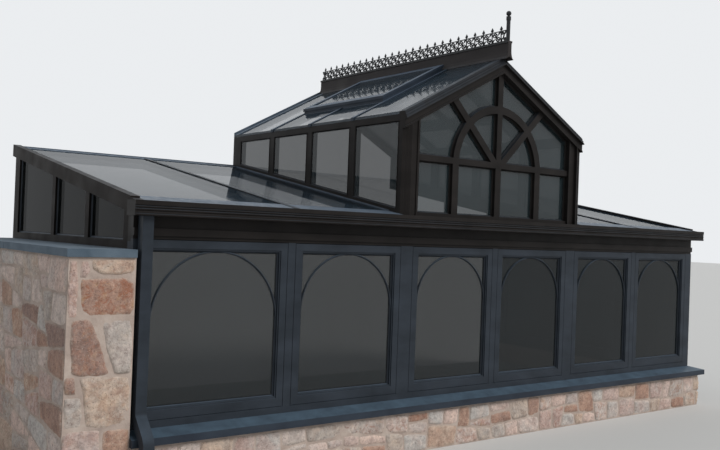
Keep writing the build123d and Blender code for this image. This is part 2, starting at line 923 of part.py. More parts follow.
def gable_fanlight():
    return extrude(upright_plane(GABLE_BAR_DEPTH) * fan_face(), amount=GABLE_BAR_DEPTH)


def gable_glass():
    low = roof_z(0) + GABLE_SILL
    y1 = GABLE_GLASS_BACK + GLASS
    upper = extrude(upright_plane(y1) * (gable_light() - fan_face()), amount=GLASS)
    panes = list(upper.solids())
    half = GABLE_BAR / 2
    offset = ARCH_OUTER - ARCH_WIDTH / 2
    edges = [GABLE_INNER, MID - offset, MID, MID + offset, 2 * MID - GABLE_INNER]
    for index, (first, second) in enumerate(zip(edges, edges[1:])):
        x0 = first + (half if index > 0 else 0)
        x1 = second - (half if index < 3 else 0)
        panes.append(block(x0, x1, GABLE_GLASS_BACK, y1, low, TRANSOM_BOTTOM))
    return Compound(panes)


# Gable roof


def gable_bars():
    """Rafters of the left slope; the one behind the rake trim is as deep as the trim."""
    x1 = MID - RIDGE_BEAM_HALF
    half = GABLE_RAFTER_WIDTH / 2
    front_end = TRIM_DEPTH + GABLE_RAFTER_WIDTH
    bars = [raked(CLERESTORY_IN, x1, TRIM_DEPTH, front_end, -VERGE_WIDTH, -GLASS)]
    for y in clerestory_joints() + [DEPTH - half]:
        bars.append(raked(CLERESTORY_IN, x1, y - half, y + half, -GLASS - GABLE_RAFTER_DEPTH, -GLASS))
    return Compound(bars)


def vent_edges():
    """Lower and upper edge of the vent and its two sides."""
    joints = clerestory_joints()
    x0 = EAVE_LEFT + VENT_FROM_EAVE
    x1 = MID - RIDGE_SKIRT - VENT_TOP_GAP
    return x0, x1, joints[0] + VENT_SIDE_GAP, joints[-1] - VENT_SIDE_GAP


def vent_opening():
    x0, x1, y0, y1 = vent_edges()
    return x0 + VENT_FRAME, x1 - VENT_FRAME, y0 + VENT_FRAME, y1 - VENT_FRAME


def gable_roof_glass():
    """Four strips of glass; the two in the middle stop at the vent."""
    vent_start = vent_edges()[0]
    edges = [TRIM_DEPTH] + clerestory_joints() + [DEPTH - FLASHING_THICKNESS]
    panes = []
    for index, (y0, y1) in enumerate(zip(edges, edges[1:])):
        gap0 = 0 if index == 0 else CAP_THICKNESS / 2
        gap1 = 0 if index == CLERESTORY_BAYS - 1 else CAP_THICKNESS / 2
        top = vent_start if index in (1, 2) else MID - RIDGE_BEAM_HALF
        panes.append(raked(EAVE_LEFT, top, y0 + gap0, y1 - gap1, -GLASS, 0))
    return Compound(panes)


def glazing_cap(y, x1):
    """Cap over a joint between roof panes, with a web between them and a clip at the eave."""
    half = CAP_WIDTH / 2
    web = CAP_THICKNESS / 2
    clip = EAVE_LEFT - CAP_THICKNESS
    cap = raked(clip, x1, y - half, y + half, 0, CAP_THICKNESS)
    cap += raked(clip, EAVE_LEFT, y - half, y + half, -GLASS, 0)
    return cap + raked(EAVE_LEFT, min(x1, vent_edges()[0]), y - web, y + web, -GLASS, 0)


def glazing_caps():
    """Caps of the left slope; the middle one ends at the vent."""
    first, middle, last = clerestory_joints()
    ridge = MID - RIDGE_SKIRT
    vent = vent_edges()[0] + VENT_INSET
    web = CAP_THICKNESS / 2
    caps = [glazing_cap(first, ridge), glazing_cap(middle, vent), glazing_cap(last, ridge)]
    for index, y in ((0, first), (2, last)):
        caps[index] += raked(vent_edges()[0], MID - RIDGE_BEAM_HALF, y - web, y + web, -GLASS, 0)
    return Compound(caps)


def roof_vent():
    """Closed vent: a ring let in between the panes, a kerb on it and an overhanging lid."""
    x0, x1, y0, y1 = vent_edges()
    joints = clerestory_joints()
    web = CAP_THICKNESS / 2
    edge = VENT_INSET
    kerb_top = VENT_HEIGHT - VENT_LID
    frame = raked(x0, MID - RIDGE_BEAM_HALF, joints[0] + web, joints[-1] - web, -GLASS, 0)
    frame += raked(x0 + edge, x1 - edge, y0 + edge, y1 - edge, 0, kerb_top)
    frame += raked(x0, x1, y0, y1, kerb_top, VENT_HEIGHT)
    return frame - raked(*vent_opening(), -GLASS, VENT_HEIGHT)


def roof_vent_glass():
    high = VENT_HEIGHT - VENT_GLASS_DROP
    return raked(*vent_opening(), high - GLASS, high)


def ridge_beam():
    """Beam under the ridge cap, level with the underside of the rake trim."""
    low = gable_z(MID) - VERGE_WIDTH
    top = gable_z(MID - RIDGE_BEAM_HALF)
    return block(MID - RIDGE_BEAM_HALF, MID + RIDGE_BEAM_HALF, TRIM_DEPTH, DEPTH, low, top)


def ridge_side():
    """Left side of the ridge cap as (half width, height), from its foot to its top."""
    foot = gable_z(MID - RIDGE_SKIRT)
    edge = foot + RIDGE_SKIRT_EDGE
    upright = RIDGE_TOP - RIDGE_UPRIGHT
    lip = RIDGE_TOP - RIDGE_LIP_HEIGHT
    side = [(RIDGE_SKIRT, foot), (RIDGE_SKIRT, edge)]
    for step in range(1, RIDGE_SKIRT_STEPS + 1):
        angle = pi / 2 * step / RIDGE_SKIRT_STEPS
        half = RIDGE_SKIRT - (RIDGE_SKIRT - RIDGE_HALF) * sin(angle)
        side.append((half, upright - (upright - edge) * cos(angle)))
    return side + [(RIDGE_HALF, lip), (RIDGE_HALF + RIDGE_LIP, lip), (RIDGE_HALF + RIDGE_LIP, RIDGE_TOP)]


def ridge_cap():
    """Upright cap with a flared skirt and a lip; its front end runs out over the rake trim."""
    left = [(MID - half, z) for half, z in ridge_side()]
    right = [(MID + half, z) for half, z in reversed(ridge_side())]
    shoulder = gable_z(MID - RIDGE_BEAM_HALF)
    over_beam = [(MID + RIDGE_BEAM_HALF, shoulder), (MID - RIDGE_BEAM_HALF, shoulder)]
    body = along_y(left + right + over_beam, TRIM_DEPTH, DEPTH)
    return body + along_y(left + right + [(MID, gable_z(MID))], -RIDGE_FRONT, TRIM_DEPTH)


# Cresting and finial


def crest_ring(y, z, radius):
    """A small ring of the cresting, standing in for a scroll."""
    outer = RegularPolygon(radius, CREST_RING_SIDES)
    return Pos(y, z) * (outer - RegularPolygon(radius - CREST_BAR, CREST_RING_SIDES))


def crest_spear(y):
    """Stem and leaf-shaped head of one spear."""
    stem = CREST_STEM / 2
    head = CREST_HEAD_WIDTH / 2
    tip = RIDGE_TOP + CREST_HEIGHT
    neck = tip - CREST_HEAD_HEIGHT
    shoulder = tip - CREST_HEAD_SHOULDER
    low = RIDGE_TOP + CREST_BASE / 2
    outline = [
        (y - stem, low),
        (y + stem, low),
        (y + stem, neck),
        (y + head, shoulder),
        (y, tip),
        (y - head, shoulder),
        (y - stem, neck),
    ]
    return make_face(Polyline(*outline, close=True))


def cresting():
    """Openwork strip: spears with rings between a base bar and a thin rail."""
    start = FINIAL_Y + FINIAL_SHAFT
    middle = (start + DEPTH) / 2
    pitch = (DEPTH - CREST_END_GAP - CREST_FIRST) / (CREST_SPEARS - 1)
    rail = RIDGE_TOP + CREST_RAIL_RISE
    face = Pos(middle, RIDGE_TOP + CREST_BASE / 2) * Rectangle(DEPTH - start, CREST_BASE)
    face += Pos(middle, rail) * Rectangle(DEPTH - start, CREST_RAIL)
    beside = CREST_RING + CREST_STEM / 2 - CREST_OVERLAP / 2
    low = RIDGE_TOP + CREST_BASE + CREST_RING - CREST_OVERLAP
    high = rail - CREST_RAIL / 2 - CREST_UPPER_RING + CREST_OVERLAP
    for index in range(CREST_SPEARS):
        y = CREST_FIRST + pitch * index
        face += crest_spear(y)
        face += crest_ring(y - beside, low, CREST_RING)
        face += crest_ring(y + beside, low, CREST_RING)
        if index > 0:
            face += crest_ring(y - pitch / 2, high, CREST_UPPER_RING)
    plane = Plane(origin=(MID - CREST_THICKNESS / 2, 0, 0), x_dir=(0, 1, 0), z_dir=(1, 0, 0))
    return extrude(plane * face, amount=CREST_THICKNESS)


def finial():
    """Turned shaft with a collar, a neck and a ball."""
    collar = FINIAL_SHAFT_HEIGHT
    neck = collar + FINIAL_COLLAR_HEIGHT
    centre = FINIAL_HEIGHT - FINIAL_BALL
    outline = [
        (0, 0),
        (FINIAL_SHAFT, 0),
        (FINIAL_SHAFT, collar),
        (FINIAL_COLLAR, collar),
        (FINIAL_COLLAR, neck),
        (FINIAL_NECK, neck),
    ]
    start = -acos(FINIAL_NECK / FINIAL_BALL)
    for step in range(FINIAL_BALL_STEPS):
        angle = start + (pi / 2 - start) * step / FINIAL_BALL_STEPS
        outline.append((FINIAL_BALL * cos(angle), centre + FINIAL_BALL * sin(angle)))
    outline.append((0, FINIAL_HEIGHT))
    shaft = make_face(Polyline(*outline, close=True))
    return Pos(MID, FINIAL_Y, RIDGE_TOP) * revolve(Plane.XZ * shaft, axis=Axis.Z)


def both(shape):
    """The shape and its mirror image across the gable, as one node."""
    return Compound([shape, mirrored(shape)])


def nodes():
    """Every node by name."""
    sashes = [sash(span) for span in SASHES]
    plates = [wall_plate(END_FRAME, EAVE_LEFT), wall_plate(EAVE_RIGHT, LENGTH - END_FRAME)]
    return {
        "floor_slab": floor_slab(),
        "knee_wall_front": knee_wall_front(),
        "knee_wall_right": knee_wall_right(),
        "end_wall_left": end_wall_left(),
        "coping_left": coping_left(),
        "sill_front": sill_front(),
        "sill_right": sill_right(),
        "bottom_rail": bottom_rail(),
        "corner_posts": Compound([corner_post_left(), corner_post_right()]),
        "front_posts": front_posts(),
        "front_mullions": front_mullions(),
        "header_beam": header_beam(),
        "window_sashes_left": Compound(sashes[0:2]),
        "window_sashes_middle": Compound(sashes[2:4]),
        "window_sashes_right": Compound(sashes[4:6]),
        "front_glass": front_glass(),
        "gutter": gutter(),
        "downspout": downspout(),
        "left_end_frame": left_end_frame(),
        "left_end_glass": left_end_glass(),
        "right_end_frame": right_end_frame(),
        "right_end_glass_lower": right_end_glass_lower(),
        "right_end_glass_upper": right_end_glass_upper(),
        "rake_beam_left": rake_beam_left(),
        "rake_beam_right": rake_beam_right(),
        "wall_plates": Compound(plates),
        "wall_flashings": wall_flashings(),
        "eave_flashings": eave_flashings(),
        "lean_to_bars": Compound([lean_to_bar(bar_left_x()), lean_to_bar(bar_right_x())]),
        "lean_to_glass": lean_to_glass(),
        "clerestory_kerbs": both(clerestory_kerb()),
        "clerestory_frame_left": clerestory_frame(),
        "clerestory_frame_right": mirrored(clerestory_frame()),
        "clerestory_glass": both(clerestory_glass()),
        "gable_corner_posts": gable_corner_posts(),
        "gable_rake_trim": gable_rake_trim(),
        "gable_sill": gable_sill(),
        "gable_transom": gable_transom(),
        "gable_mullions": gable_mullions(),
        "gable_fanlight": gable_fanlight(),
        "gable_glass": gable_glass(),
        "gable_rafters": both(gable_bars()),
        "gable_roof_glass": both(gable_roof_glass()),
        "gable_glazing_caps": both(glazing_caps()),
        "roof_vent_left": roof_vent(),
        "roof_vent_right": mirrored(roof_vent()),
        "roof_vent_glass": both(roof_vent_glass()),
        "ridge_beam": ridge_beam(),
        "ridge_cap": ridge_cap(),
        "cresting": cresting(),
        "finial": finial(),
    }


def main():
    os.makedirs("parts", exist_ok=True)
    for name, shape in nodes().items():
        solids = list(shape.solids())
        body = solids[0] if len(solids) == 1 else Compound(solids)
        export_step(Pos(-CENTRE_X, -CENTRE_Y, 0) * body, f"parts/{name}.step")


main()
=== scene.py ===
"""Looks of the lean-to glass conservatory.

Stonework, glazing beads, window arches, cresting and every finish.
"""
import math
import random

import bmesh
import bpy
import numpy as np
from mathutils import Matrix, Vector, noise
from mathutils.geometry import delaunay_2d_cdt

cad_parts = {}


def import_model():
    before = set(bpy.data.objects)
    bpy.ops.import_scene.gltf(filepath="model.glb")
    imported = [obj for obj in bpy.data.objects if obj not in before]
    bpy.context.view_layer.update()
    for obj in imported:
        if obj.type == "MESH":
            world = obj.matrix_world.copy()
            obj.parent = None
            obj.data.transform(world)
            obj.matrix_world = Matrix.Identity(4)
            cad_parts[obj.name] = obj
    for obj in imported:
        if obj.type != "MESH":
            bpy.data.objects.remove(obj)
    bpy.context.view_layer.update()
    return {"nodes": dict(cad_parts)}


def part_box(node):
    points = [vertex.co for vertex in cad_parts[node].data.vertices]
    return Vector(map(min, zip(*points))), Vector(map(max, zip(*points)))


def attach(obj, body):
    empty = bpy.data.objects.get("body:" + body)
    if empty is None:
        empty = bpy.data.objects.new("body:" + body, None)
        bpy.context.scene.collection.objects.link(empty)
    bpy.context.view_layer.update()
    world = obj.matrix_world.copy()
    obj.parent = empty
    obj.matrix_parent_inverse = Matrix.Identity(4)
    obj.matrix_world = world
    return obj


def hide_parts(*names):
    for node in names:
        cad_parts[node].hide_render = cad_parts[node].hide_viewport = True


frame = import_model()
NODES = frame["nodes"]

# Camera at the photograph's viewing angle, in metres and degrees
CAMERA_PLACE = Vector((-5.628, -7.031, 1.893))
CAMERA_YAW = 37.24
CAMERA_PITCH = 0.64
CAMERA_ROLL = 2.14
FOCAL_PIXELS = 837.0
IMAGE_WIDTH = 720
SENSOR_WIDTH = 36.0
CLIP_END = 400

# Stage and world
FLOOR_HALF = 90.0
FLOOR_DROP = 0.001
WORLD_LIGHT = 0.36

# Stonework
MORTAR_GAP = 0.017
STONE_STEP = 0.016
STONE_PROUD = 0.012
STONE_ROOT = -0.004
STONE_GROWTH = 0.005
STONE_EDGE = 0.001
STONE_SHOULDER = 0.005
STONE_LIMIT = 1.5
SMALLEST_STONE = 0.003
FOLD_REACH = 0.03

# Height of a course and width of a stone, then the mesh step, on each wall
END_COURSE = 0.2
END_STONE = 0.32
END_CORNER_JOINT = 0.004
INNER_STEP = 0.026
INNER_PROUD = 0.011
KNEE_COURSE = 0.14
KNEE_STONE = 0.25
KNEE_STEP = 0.018
KNEE_TOP_JOINT = 0.022
END_SEED = 41
INNER_SEED = 43
KNEE_SEED = 17

# Window arches
ARCH_BAR = 0.016
ARCH_DEPTH = 0.014
ARCH_STEPS = 56
ARCH_END = 87
ARCH_LAP = 0.003

# Beads and gaskets round the panes
BEAD_WIDTH = 0.012
BEAD_RISE = 0.010
GASKET_WIDTH = 0.004
GASKET_RISE = 0.002
STRIP_FOOT = -0.0005
UPPER_BEAD = BEAD_WIDTH * 0.8

# Cresting
CREST_SPEARS = 26
CREST_FIRST = 0.072
CREST_RAIL = 0.112
CREST_BASE = 0.014
CREST_BAR = 0.0066
CREST_BACK = 0.008
CREST_HALF = 0.0055
CREST_RAIL_HALF = 0.004
CREST_STEM_RISE = 0.012
CREST_NECK = 0.009
SPEAR_HALF = 0.022
SPEAR_SHOULDER = 0.008
SPEAR_WAIST = 0.022
SPEAR_MIDDLE = 0.016

# Lip of the ridge cap, from its middle and from its top
LIP_HALF = 0.03
LIP_HEIGHT = 0.018
LIP_INSIDE = 0.004
LIP_OUTSIDE = 0.0015
LIP_RISE = 0.001

# Flashings along the back, and how much of the upstand shows over the lean-tos and beside the gable
FLASHING_UPSTAND = 0.11
FLASHING_SHOWN = 0.014
GABLE_FLASHING_SHOWN = 0.03
APRON_DEPTH = 0.09
LEVEL_RISE = 0.1
PANE_THICKNESS = 0.025

# Reading the panes of a node
WELD = 1e-5
FLAT_ANGLE = 0.6


def linear(red, green, blue):
    """An sRGB colour of 0 to 255 as a linear one."""
    out = []
    for value in (red, green, blue):
        share = value / 255
        out.append(share / 12.92 if share <= 0.04045 else ((share + 0.055) / 1.055) ** 2.4)
    return (*out, 1.0)


# Materials


class Finish:
    """A node material with a Principled shader, and short calls that add nodes to it."""

    def __init__(self, name, roughness, specular=0.5, metallic=0.0):
        self.material = bpy.data.materials.new(name)
        self.material.use_nodes = True
        self.nodes = self.material.node_tree.nodes
        self.links = self.material.node_tree.links
        self.nodes.clear()
        output = self.nodes.new("ShaderNodeOutputMaterial")
        self.shader = self.nodes.new("ShaderNodeBsdfPrincipled")
        self.links.new(self.shader.outputs["BSDF"], output.inputs["Surface"])
        self.shader.inputs["Roughness"].default_value = roughness
        self.shader.inputs["Specular IOR Level"].default_value = specular
        self.shader.inputs["Metallic"].default_value = metallic
        self.place = self.nodes.new("ShaderNodeTexCoord").outputs["Object"]

    def join(self, value, socket):
        """Link a socket, or set a number or colour on it."""
        if isinstance(value, bpy.types.NodeSocket):
            self.links.new(value, socket)
        else:
            socket.default_value = value

    def stretched(self, scale):
        mapping = self.nodes.new("ShaderNodeMapping")
        self.links.new(self.place, mapping.inputs["Vector"])
        mapping.inputs["Scale"].default_value = scale
        return mapping.outputs["Vector"]

    def noise(self, scale, detail=3.0, roughness=0.55, stretch=(1, 1, 1), distortion=0.0):
        node = self.nodes.new("ShaderNodeTexNoise")
        node.inputs["Scale"].default_value = scale
        node.inputs["Detail"].default_value = detail
        node.inputs["Roughness"].default_value = roughness
        node.inputs["Distortion"].default_value = distortion
        self.links.new(self.stretched(stretch), node.inputs["Vector"])
        return node.outputs["Fac"]

    def ramp(self, factor, stops, interpolation="LINEAR"):
        """A colour ramp with (position, colour) stops."""
        node = self.nodes.new("ShaderNodeValToRGB")
        node.color_ramp.interpolation = interpolation
        elements = node.color_ramp.elements
        for index, (position, colour) in enumerate(stops):
            element = elements[index] if index < 2 else elements.new(position)
            element.position = position
            element.color = colour
        self.links.new(factor, node.inputs["Fac"])
        return node.outputs["Color"]

    def band(self, factor, low, high, out_low=0.0, out_high=1.0):
        """A number mapped from one range to another, and kept inside it."""
        node = self.nodes.new("ShaderNodeMapRange")
        node.inputs["From Min"].default_value = low
        node.inputs["From Max"].default_value = high
        node.inputs["To Min"].default_value = out_low
        node.inputs["To Max"].default_value = out_high
        self.links.new(factor, node.inputs["Value"])
        return node.outputs["Result"]

    def mix(self, factor, first, second, mode="MIX"):
        node = self.nodes.new("ShaderNodeMix")
        node.data_type = "RGBA"
        node.blend_type = mode
        self.join(factor, node.inputs["Factor"])
        self.join(first, node.inputs["A"])
        self.join(second, node.inputs["B"])
        return node.outputs["Result"]

    def math(self, operation, first, second):
        node = self.nodes.new("ShaderNodeMath")
        node.operation = operation
        self.join(first, node.inputs[0])
        self.join(second, node.inputs[1])
        return node.outputs["Value"]

    def attribute(self, name):
        node = self.nodes.new("ShaderNodeAttribute")
        node.attribute_name = name
        return node.outputs["Fac"]

    def upward(self, low=0.3, high=0.9):
        """How far the surface faces the sky."""
        geometry = self.nodes.new("ShaderNodeNewGeometry")
        split = self.nodes.new("ShaderNodeSeparateXYZ")
        self.links.new(geometry.outputs["Normal"], split.inputs["Vector"])
        return self.band(split.outputs["Z"], low, high)

    def bump(self, height, strength, distance, normal=None):
        node = self.nodes.new("ShaderNodeBump")
        node.inputs["Strength"].default_value = strength
        node.inputs["Distance"].default_value = distance
        self.links.new(height, node.inputs["Height"])
        if normal is not None:
            self.links.new(normal, node.inputs["Normal"])
        return node.outputs["Normal"]

    def soft_edges(self, radius, samples=4):
        node = self.nodes.new("ShaderNodeBevel")
        node.samples = samples
        node.inputs["Radius"].default_value = radius
        return node.outputs["Normal"]

    def finish(self, colour=None, normal=None, roughness=None):
        if colour is not None:
            self.join(colour, self.shader.inputs["Base Color"])
        if normal is not None:
            self.links.new(normal, self.shader.inputs["Normal"])
        if roughness is not None:
            self.links.new(roughness, self.shader.inputs["Roughness"])
        return self.material


def bronze_paint(name, dark, light, dust, sky_sheen_and_dust_share=0.55, gloss=0.14):
    """Powder-coated dark bronze: faint mottling, fine orange peel, and dust with a painted sky sheen on what
    faces the sky.
    """
    coat = Finish(name, roughness=0.46, specular=gloss)
    mottle = coat.noise(3.0, 4.0, stretch=(1, 1, 2.2))
    colour = coat.ramp(mottle, [(0.3, dark), (0.72, light)])
    streaks = coat.noise(11.0, 3.0, stretch=(1, 1, 0.12))
    colour = coat.mix(coat.band(streaks, 0.45, 0.8, 0.0, 0.35), colour, light)
    fall = coat.noise(7.0, 5.0, 0.65)
    # Painted sky sheen with dust: what faces up is mixed towards the pale blue-grey dust colour, which stands
    # in for the sky's light on it as well as for real dust.
    sky_sheen_and_dust = coat.math("MULTIPLY", coat.upward(), coat.band(fall, 0.3, 0.75, 0.35, 1.0))
    sky_sheen_and_dust = coat.math("MULTIPLY", sky_sheen_and_dust, sky_sheen_and_dust_share)
    colour = coat.mix(sky_sheen_and_dust, colour, dust)
    peel = coat.noise(420.0, 2.0)
    normal = coat.bump(peel, 0.05, 0.0004, coat.soft_edges(0.0022))
    rough = coat.band(coat.noise(5.0, 4.0), 0.3, 0.7, 0.38, 0.54)
    return coat.finish(colour, normal, rough)


def glass(name, tint, cover, gloss=0.5, smooth=0.01, wave=0.03, grime=0.22):
    """Tinted insulating glass: partly see-through, with slight waves and a little dust; the tint also holds a
    painted reflection.
    """
    pane = Finish(name, roughness=smooth, specular=gloss)
    pane.shader.inputs["IOR"].default_value = 1.5
    pane.shader.inputs["Alpha"].default_value = cover
    rough = pane.band(pane.noise(9.0, 4.0, 0.6), 0.4, 0.8, smooth, smooth + 0.08)
    normal = pane.bump(pane.noise(1.3, 1.0), wave, 0.02)
    cloudy = (tint[0] * 1.5, tint[1] * 1.5, tint[2] * 1.5, 1.0)
    colour = pane.ramp(pane.noise(1.7, 4.0), [(0.3, tint), (0.8, cloudy)])
    dust = pane.band(pane.noise(55.0, 5.0, 0.7), 0.55, 0.85, 0.0, grime)
    colour = pane.mix(dust, colour, linear(120, 128, 134))
    return pane.finish(colour, normal, rough)


def mortar():
    lime = Finish("lime_mortar", roughness=0.95, specular=0.2)
    colour = lime.ramp(
        lime.noise(6.0, 6.0, 0.6),
        [(0.25, linear(148, 134, 126)), (0.5, linear(174, 158, 148)), (0.8, linear(194, 182, 172))],
    )
    sand = lime.noise(240.0, 2.0)
    colour = lime.mix(lime.band(sand, 0.55, 0.8, 0.0, 0.3), colour, linear(132, 120, 112))
    normal = lime.bump(lime.noise(38.0, 5.0, 0.6), 0.7, 0.006)
    normal = lime.bump(sand, 0.5, 0.0012, normal)
    return lime.finish(colour, normal)


def fieldstone():
    """Rubble stones: the colour of each comes from its own attribute, the rest from noise."""
    rock = Finish("fieldstone", roughness=0.9, specular=0.25)
    tone = rock.attribute("tint")
    drift = rock.band(rock.noise(7.0, 4.0, 0.6, distortion=0.6), 0.3, 0.7, -0.05, 0.05)
    tone = rock.math("ADD", tone, drift)
    colour = rock.ramp(
        tone,
        [
            (0.0, linear(146, 124, 116)),
            (0.14, linear(172, 140, 124)),
            (0.27, linear(194, 174, 158)),
            (0.4, linear(178, 170, 164)),
            (0.53, linear(208, 192, 184)),
            (0.66, linear(186, 162, 154)),
            (0.79, linear(188, 184, 180)),
            (0.92, linear(206, 184, 174)),
        ],
    )
    shade = rock.ramp(
        rock.noise(34.0, 8.0, 0.7),
        [(0.28, (0.62, 0.6, 0.6, 1)), (0.5, (0.98, 0.97, 0.96, 1)), (0.7, (1.22, 1.21, 1.2, 1))],
    )
    colour = rock.mix(0.85, colour, shade, "MULTIPLY")
    blotch = rock.ramp(
        rock.noise(11.0, 5.0, 0.6, distortion=0.9),
        [(0.36, (0.72, 0.69, 0.68, 1)), (0.52, (1.0, 1.0, 1.0, 1)), (0.66, (1.1, 1.08, 1.04, 1))],
    )
    colour = rock.mix(0.8, colour, blotch, "MULTIPLY")
    veins = rock.band(rock.noise(13.0, 5.0, 0.7, distortion=1.2), 0.48, 0.6, 0.0, 0.75)
    rust = rock.math("MULTIPLY", veins, rock.attribute("stain"))
    colour = rock.mix(rust, colour, linear(148, 98, 76))
    ochre = rock.band(rock.noise(10.0, 4.0, 0.6, distortion=0.8), 0.32, 0.46, 0.5, 0.0)
    colour = rock.mix(rock.math("MULTIPLY", ochre, rock.attribute("stain")), colour, linear(184, 148, 114))
    specks = rock.band(rock.noise(120.0, 4.0, 0.7), 0.57, 0.7, 0.0, 0.38)
    colour = rock.mix(specks, colour, linear(222, 216, 212))
    pits = rock.band(rock.noise(70.0, 3.0, 0.6), 0.3, 0.42, 0.6, 0.0)
    colour = rock.mix(pits, colour, linear(92, 76, 70))
    rim = rock.attribute("rim")
    smear = rock.math("MULTIPLY", rim, rock.band(rock.noise(60.0, 4.0), 0.35, 0.65, 0.1, 0.8))
    colour = rock.mix(smear, colour, linear(190, 178, 166))
    normal = rock.bump(rock.noise(42.0, 7.0, 0.68), 0.9, 0.012)
    normal = rock.bump(rock.noise(190.0, 4.0, 0.6), 0.6, 0.002, normal)
    return rock.finish(colour, normal)


def bluestone(name, dark, light, scale=5.0):
    slab = Finish(name, roughness=0.78, specular=0.35)
    colour = slab.ramp(slab.noise(scale, 6.0, 0.6, distortion=0.4), [(0.3, dark), (0.75, light)])
    grain = slab.noise(160.0, 3.0)
    colour = slab.mix(slab.band(grain, 0.5, 0.8, 0.0, 0.35), colour, dark)
    # Painted sky sheen with weathering bloom: what faces up is mixed towards a pale blue-grey.
    bloom = slab.math("MULTIPLY", slab.upward(), slab.band(slab.noise(8.0, 5.0), 0.35, 0.7, 0.0, 0.3))
    colour = slab.mix(bloom, colour, linear(128, 138, 146))
    normal = slab.bump(slab.noise(22.0, 6.0, 0.62), 0.5, 0.004, slab.soft_edges(0.004))
    return slab.finish(colour, normal)


def flagstones():
    """Floor of sawn bluestone flags with narrow joints."""
    floor = Finish("floor_flags", roughness=0.6, specular=0.4)
    brick = floor.nodes.new("ShaderNodeTexBrick")
    brick.inputs["Scale"].default_value = 1.0
    brick.inputs["Brick Width"].default_value = 0.6
    brick.inputs["Row Height"].default_value = 0.45
    brick.inputs["Mortar Size"].default_value = 0.006
    brick.inputs["Color1"].default_value = linear(92, 98, 102)
    brick.inputs["Color2"].default_value = linear(118, 118, 114)
    brick.inputs["Mortar"].default_value = linear(58, 56, 54)
    floor.links.new(floor.place, brick.inputs["Vector"])
    cloud = floor.noise(5.0, 5.0, 0.6)
    colour = floor.mix(floor.band(cloud, 0.3, 0.75, 0.0, 0.5), brick.outputs["Color"], linear(136, 132, 122))
    joint = floor.math("SUBTRACT", 1.0, brick.outputs["Fac"])
    normal = floor.bump(joint, 0.6, 0.004, floor.bump(cloud, 0.2, 0.002))
    return floor.finish(colour, normal)


def lead():
    """Dull blue-grey sheet flashing with pale bloom."""
    sheet = Finish("lead_flashing", roughness=0.5, specular=0.4, metallic=0.2)
    colour = sheet.ramp(sheet.noise(7.0, 6.0, 0.65), [(0.3, linear(68, 80, 93)), (0.7, linear(92, 104, 118))])
    normal = sheet.bump(sheet.noise(14.0, 4.0), 0.35, 0.004, sheet.soft_edges(0.002))
    rough = sheet.band(sheet.noise(18.0, 4.0), 0.3, 0.7, 0.4, 0.62)
    return sheet.finish(colour, normal, rough)


def cast_metal():
    """Near-black painted casting, paler on what faces up: dust with a painted sky sheen."""
    cast = Finish("cast_crest", roughness=0.48, specular=0.35)
    colour = cast.ramp(cast.noise(30.0, 4.0), [(0.35, linear(22, 23, 25)), (0.75, linear(40, 42, 46))])
    # Painted sky sheen with dust on what faces up.
    sky_sheen_and_dust_mask = cast.math("MULTIPLY", cast.upward(), 0.3)
    colour = cast.mix(sky_sheen_and_dust_mask, colour, linear(92, 98, 106))
    normal = cast.bump(cast.noise(260.0, 3.0), 0.25, 0.0008)
    return cast.finish(colour, normal)


def rubber():
    strip = Finish("glazing_gasket", roughness=0.7, specular=0.2)
    colour = strip.ramp(strip.noise(40.0, 2.0), [(0.3, linear(14, 14, 15)), (0.7, linear(26, 26, 27))])
    return strip.finish(colour, strip.bump(strip.noise(300.0, 2.0), 0.2, 0.0004))


# Copies of one bronze paint that differ by painted light. The lower frames' copy is lighter and bluer: a
# painted sky sheen.
BRONZE = bronze_paint("bronze_frame", linear(39, 44, 50), linear(52, 58, 66), linear(84, 98, 112))
# Painted shade: a darker, browner copy of the bronze for the framing above the front windows.
BRONZE_SHADED = bronze_paint(
    "bronze_upper_painted_shade", linear(27, 25, 24), linear(39, 36, 35), linear(80, 92, 104), gloss=0.1,
)
# Painted shade: a darker copy of the bronze, with little gloss, for the left end frame and rake beam, whose
# side lies in shade.
BRONZE_END_SHADED = bronze_paint(
    "bronze_end_painted_shade", linear(30, 27, 26), linear(42, 38, 36), linear(72, 78, 84), 0.4, gloss=0.03,
)
BRONZE_CAP = bronze_paint("bronze_cap", linear(40, 37, 37), linear(54, 50, 50), linear(78, 84, 92))
# Painted sky sheen: lighter, bluer copies of the bronze, with a strong sky sheen and dust on what faces up,
# for the sills and for the roof caps and vent frames.
BRONZE_SILL_SKY_LIT = bronze_paint("bronze_sill_painted_sky_sheen", linear(40, 45, 54), linear(52, 60, 70), linear(84, 104, 120), 0.85)
BRONZE_ROOF_SKY_LIT = bronze_paint("bronze_roof_painted_sky_sheen", linear(42, 49, 58), linear(56, 65, 77), linear(86, 102, 120), 0.9)
# Painted reflection in the tints: the roof and lean-to panes are lighter and bluer for the sky they reflect,
# the upper panes between, and the front and end panes darker for the dark surroundings and shade they
# reflect.
GLASS_FRONT = glass("glass_front", linear(16, 22, 25), 0.74, 0.45, grime=0.14)
GLASS_UPPER = glass("glass_upper", linear(34, 43, 46), 0.7, 0.5)
GLASS_END = glass("glass_end", linear(18, 20, 20), 0.86, 0.01, 0.03, grime=0.1)
GLASS_LEAN_TO = glass("glass_lean_to", linear(34, 46, 56), 0.68, 0.02, 0.04, grime=0.14)
GLASS_ROOF = glass("glass_roof", linear(58, 70, 80), 0.62, 0.3, 0.04)
MORTAR = mortar()
STONE = fieldstone()
COPING = bluestone("bluestone_coping", linear(70, 84, 96), linear(94, 108, 120))
FLAGS = flagstones()
LEAD = lead()
CAST = cast_metal()
RUBBER = rubber()

